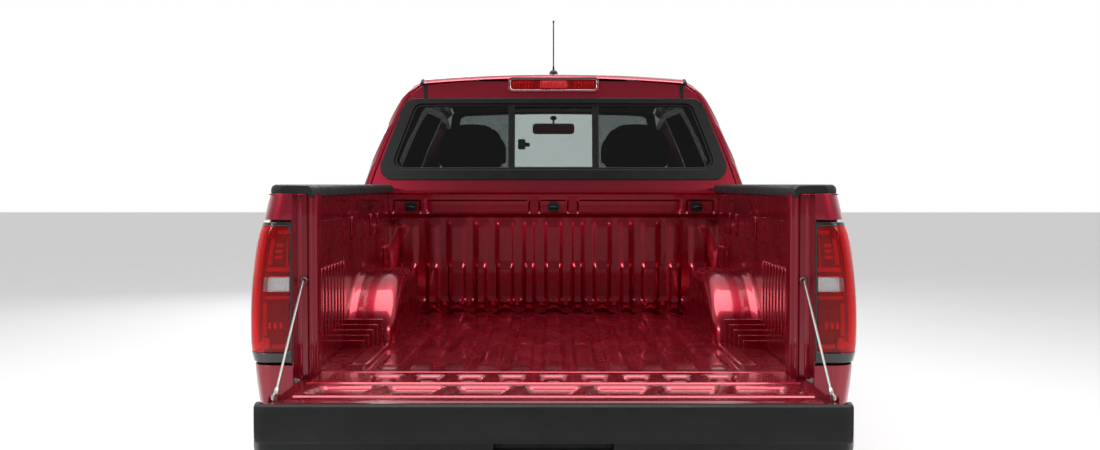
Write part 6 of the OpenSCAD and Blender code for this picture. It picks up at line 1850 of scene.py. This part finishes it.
def build_dashboard():
    f = S_FIREWALL
    side = rounded([[f + 31, 702], [f + 31, 1078], [f + 64, 1084], [f + 120, 1060], [f + 330, 1040], [f + 330, 962], [f + 262, 830],
            [f + 250, 764], [f + 60, 705]],
                   [6, 10, 14, 60, 26, 22, 60, 20, 16], 30)
    body = cushion(side, -699, 699, 14)
    cowl_ = cushion(rounded([[f + 150, 1030], [f + 170, 1096], [f + 250, 1104], [f + 322, 1072], [f + 318, 1034]], 22, 16), 360 - 190,
            360 + 190, 22)
    piece("dash_body", [body, cowl_], M["soft_plastic"], replaces="dashboard", slot="dash_plastic")
    console_top = slab(flat("z", 832), rounded([[-112, f + 205], [112, f + 205], [112, f + 1095], [-112, f + 1095]], 28),
            [circle(-45, f + 560, 40), circle(45, f + 560, 40)], 0, 60, 60, 12)
    lower = block((f + 205, f + 1095), (-110, 110), (645, 776), 14)
    lid = slab(flat("z", 842), rounded([[-88, f + 700], [88, f + 700], [88, f + 1080], [-88, f + 1080]], 34), [], 0, 14, 40, 7)
    piece("console", [console_top, lower, lid], M["soft_plastic"], slot="dash_plastic")
    back_plane = lambda z: f + 262 + (z - 830) * 0.515

    def facing(y0, y1, z0, z1, d0, d1, r=3, corner=8, holes=()):
        face = lambda u, v: points(back_plane(u), v, u)
        return slab(face, rect(z0, z1, y0, y1, corner), holes, d0, d1, 60, r)
    piece("centre_stack", [facing(-150, 150, 800, 958, -12, 8, 5, 18)], M["gloss_black"], slot="gloss_black")
    piece("display", [facing(-118, 118, 868, 948, -15, -9, 2, 8)], M["dark_screen"], slot="gloss_black")
    knobs = []
    for yy in (-96, 0, 96):
        n = np.array([-1, 0, -0.515]) / math.hypot(1, 0.515)
        c0 = np.array([X_FRONT - back_plane(834), yy, 834.0])
        knobs.append(tube([c0 + n * k for k in (10, 14, 26, 29)], [22, 22, 20, 17], 30))
    knobs += [facing(yy - 30, yy + 30, 806, 818, -17, -10, 2, 4) for yy in (-100, -34, 34, 100)]
    piece("stack_knobs", knobs, M["satin_black"], slot="dash_plastic")
    vents, slats = [], []
    for yy in (-620, -232, 232, 620):
        zz = 985
        face = lambda u, v: points(f + 331, v, u)
        vents.append(slab(face, rect(zz - 22, zz + 34, yy - 66, yy + 66, 14), [rect(zz - 15, zz + 27, yy - 58, yy + 58, 9)], -6, 6, 60,
                3))
        slats += [slab(face, rect(z2 - 3, z2 + 3, yy - 58, yy + 58, 1), [], -2, 5, 90, 1.5) for z2 in np.linspace(zz - 6, zz + 18, 4)]
    piece("vent_rings", vents, M["bright_metal"], slot="steel")
    piece("vent_slats", slats, M["satin_black"], slot="dash_plastic")
    dials = slab(lambda u, v: points(f + 321, v, u), rect(1042, 1070, 230, 490, 12), [], -2, 3, 60, 1)
    piece("dial_glass", [dials], M["dark_screen"], slot="gloss_black")
    lever = tube([(X_FRONT - f - 400, 0, 826), (X_FRONT - f - 405, 0, 870), (X_FRONT - f - 412, 0, 910)], [9, 8, 8], 14)
    grip = lathe([(0.1, 952), (12, 951), (21, 944), (25, 930), (22, 912), (15, 900), (0.1, 899)], (X_FRONT - f - 414, 0, 0), "z", 28)
    boot = lathe([(0.1, 872), (12, 872), (16, 862), (14, 856), (26, 848), (24, 842), (42, 834), (42, 826), (0.1, 826)],
            (X_FRONT - f - 402, 0, 0), "z", 28)
    piece("gear_lever", [lever, grip, boot], M["satin_black"], slot="dash_plastic")
    column = [np.array([X_FRONT - S_FIREWALL - 470, 360, 985]) - k * np.array([-math.cos(math.radians(25)), 0,
            math.sin(math.radians(25))]) for k in (26, 34, 90, 200, 262)]
    stalks = [tube([column[1] + np.array([0, d * 20, 0]), column[1] + np.array([12, d * 90, 14]), column[1] + np.array([8, d * 165, 20])],
            [7, 6, 8], 12) for d in (-1, 1)]
    piece("column_shroud", [tube(column, [40, 50, 56, 50, 40], 30)] + stalks, M["soft_plastic"], slot="dash_plastic")


def build_steering_wheel():
    tilt = math.radians(25)
    ex, ez = np.array([math.sin(tilt), 0, math.cos(tilt)]), np.array([-math.cos(tilt), 0, math.sin(tilt)])
    centre = np.array([X_FRONT - S_FIREWALL - 470, 360, 985.0])

    def local(part):
        v, q, n = part
        turn = lambda p: p[:, 0:1] * ex + p[:, 1:2] * np.array([0, 1.0, 0]) + p[:, 2:3] * ez
        return turn(v) + centre, q, None if n is None else turn(n)
    a = np.linspace(0, 2 * math.pi, 72, endpoint=False)
    rows = []
    for t in a:
        grip = 1 + 0.12 * math.exp(-((math.degrees(t) % 360 - 68) / 11) ** 2) + 0.12 * math.exp(-((math.degrees(t) % 360 - 292) / 11) ** 2)
        b = np.linspace(0, 2 * math.pi, 18, endpoint=False)
        rows.append([((185 + 14.4 * math.cos(k) * min(grip, 1.03)) * math.cos(t), (185 + 14.4 * math.cos(k)) * math.sin(t),
                15.0 * grip * math.sin(k)) for k in b])
    ring = loft(rows + rows[:1], caps=False)
    parts = [ring]
    hub = slab(lambda u, v: np.stack(np.broadcast_arrays(v, -u, 18 - 0.0009 * (u ** 2 + v ** 2)), axis=-1), circle(0, 0, 61, 40), [], 0,
            38, 16, 10)
    spokes = []
    for deg, wide in ((90, 15), (270, 15), (180, 22)):
        c, s = math.cos(math.radians(deg)), math.sin(math.radians(deg))
        rows = []
        for k in np.linspace(46, 176, 12):
            w = wide * (1 + 0.5 * ((k - 120) / 90) ** 2)
            b = np.linspace(0, 2 * math.pi, 16, endpoint=False)
            zc = 4 - 12 * math.sin(math.pi * (k - 46) / 130) * 0.4
            rows.append([(k * c - w * math.cos(q) * s, k * s + w * math.cos(q) * c, zc + 7.5 * math.sin(q)) for q in b])
        spokes.append(loft(rows))
    piece("wheel_rim_grip", [local(p) for p in parts], M["soft_plastic"], body="steering_wheel", replaces="steering_wheel",
            slot="dash_plastic")
    piece("wheel_hub_pad", [local(hub)], M["soft_plastic"], body="steering_wheel", slot="dash_plastic")
    piece("wheel_spokes", [local(p) for p in spokes], M["satin_black"], body="steering_wheel", slot="dash_plastic")


def build_interior_mirror():
    c = shield(np.array([0.0]), np.array([0.9]))[0] - 95 * np.array([0.64, 0, 0.768])
    rows = []
    for dx, hw, hh in [(-13, 104, 22), (-12, 116, 28), (-6, 122, 31), (2, 122, 31), (9, 112, 26), (13, 90, 18)]:
        loop = rounded([[-hw, -hh], [hw, -hh], [hw, hh], [-hw, hh]], 18, 400)
        rows.append([(c[0] + dx, p[0], c[2] + p[1]) for p in loop])
    n = min(len(r) for r in rows)
    root = shield(np.array([0.0]), np.array([0.9]))[0] - np.array([4.5, 0, 6])
    stem = tube([c + np.array([6, 0, 12]), lerp(c, root, 0.6) + np.array([4, 0, 4]), root], [7, 6, 8], 14)
    foot = tube([root - 6 * np.array([0.64, 0, 0.768]), root - 1.5 * np.array([0.64, 0, 0.768])], [15, 20], 24)
    piece("inner_mirror_shell", [loft([r[:n] for r in rows]), stem, foot], M["satin_black"], replaces="interior_mirror",
            slot="gloss_black")
    face = lambda z, y: points(X_FRONT - c[0] + 13.5, y, z)
    piece("inner_mirror_glass", [slab(face, rect(c[2] - 24, c[2] + 24, -112, 112, 15), [], -0.8, 1.5, 60, 0.8)], M["mirror_glass"],
            slot="steel")


def stage_and_camera():
    bpy.ops.mesh.primitive_plane_add(size=90)
    floor = bpy.context.object
    floor.name = "floor"
    ground = Look("studio_floor", (0.80, 0.80, 0.80), 0.62)
    ground.rough(ground.noise(3, 4), 0.55, 0.7)
    floor.data.materials.append(ground.mat)
    world = bpy.data.worlds.new("studio")
    world.use_nodes = True
    back = world.node_tree.nodes["Background"]
    back.inputs[0].default_value = (1.0, 1.0, 1.0, 1)
    where = world.node_tree.nodes.new("ShaderNodeTexCoord")
    split = world.node_tree.nodes.new("ShaderNodeSeparateXYZ")
    fade = world.node_tree.nodes.new("ShaderNodeMapRange")
    fade.interpolation_type = "SMOOTHSTEP"
    for k, value in enumerate((-0.75, 0.45, 0.22, 1.0)):
        fade.inputs[k + 1].default_value = value
    world.node_tree.links.new(where.outputs["Generated"], split.inputs[0])
    world.node_tree.links.new(split.outputs[0], fade.inputs[0])
    world.node_tree.links.new(fade.outputs[0], back.inputs[1])
    bpy.context.scene.world = world
    bpy.context.scene.view_settings.view_transform = "Standard"

    def soft(name, place, aim, size, watts):
        light = bpy.data.lights.new(name, "AREA")
        light.shape, light.size, light.size_y, light.energy = "RECTANGLE", size[0], size[1], watts
        ob = bpy.data.objects.new(name, light)
        ob.location = place
        ob.rotation_euler = (Vector(aim) - Vector(place)).to_track_quat("-Z", "Y").to_euler()
        bpy.context.collection.objects.link(ob)
    soft("top", (-0.6, 0, 5.2), (-0.4, 0, 0.8), (6.5, 2.4), 260)
    soft("tail_left", (-6.4, 4.6, 3.2), (-2.0, 0.3, 0.9), (2.6, 1.2), 150)
    soft("tail_right", (-6.4, -4.6, 3.2), (-2.0, -0.3, 0.9), (2.6, 1.2), 120)
    soft("nose", (6.8, 1.5, 3.4), (1.5, 0, 0.9), (4.5, 2.2), 120)
    camera = bpy.data.cameras.new("camera")
    camera.lens, camera.sensor_width, camera.clip_end = 36.2, 36.0, 200
    ob = bpy.data.objects.new("camera", camera)
    behind = 3330.0
    ob.location = ((X_FRONT - (S_TAIL - 70) - behind) * 0.001, 0, 1.275)
    ob.rotation_euler = (math.radians(90 - 2.1), 0, math.radians(-90 + 0.18))
    bpy.context.collection.objects.link(ob)
    bpy.context.scene.camera = ob


def dress_cad_nodes():
    """Gives each CAD node that stays its procedural material."""
    for ob in [o for o in bpy.data.objects if o.type == "MESH"]:
        for slot_ in ob.material_slots:
            base = slot_.material.name.split(".")[0] if slot_.material else ""
            if base in CAD_LOOKS:
                slot_.material = M[CAD_LOOKS[base]]


dress_cad_nodes()
stage_and_camera()
build_bed()
build_tailgate()
build_straps()
build_tail_lamps()
build_high_brake_lamp()
build_cab_sides()
build_cab_back()
build_roof()
build_doors()
build_hood()
build_fenders()
build_bumper()
build_grille()
build_headlamps()
build_windshield()
build_rear_bumper()
build_wheels()
build_seats()
build_dashboard()
build_steering_wheel()
build_interior_mirror()
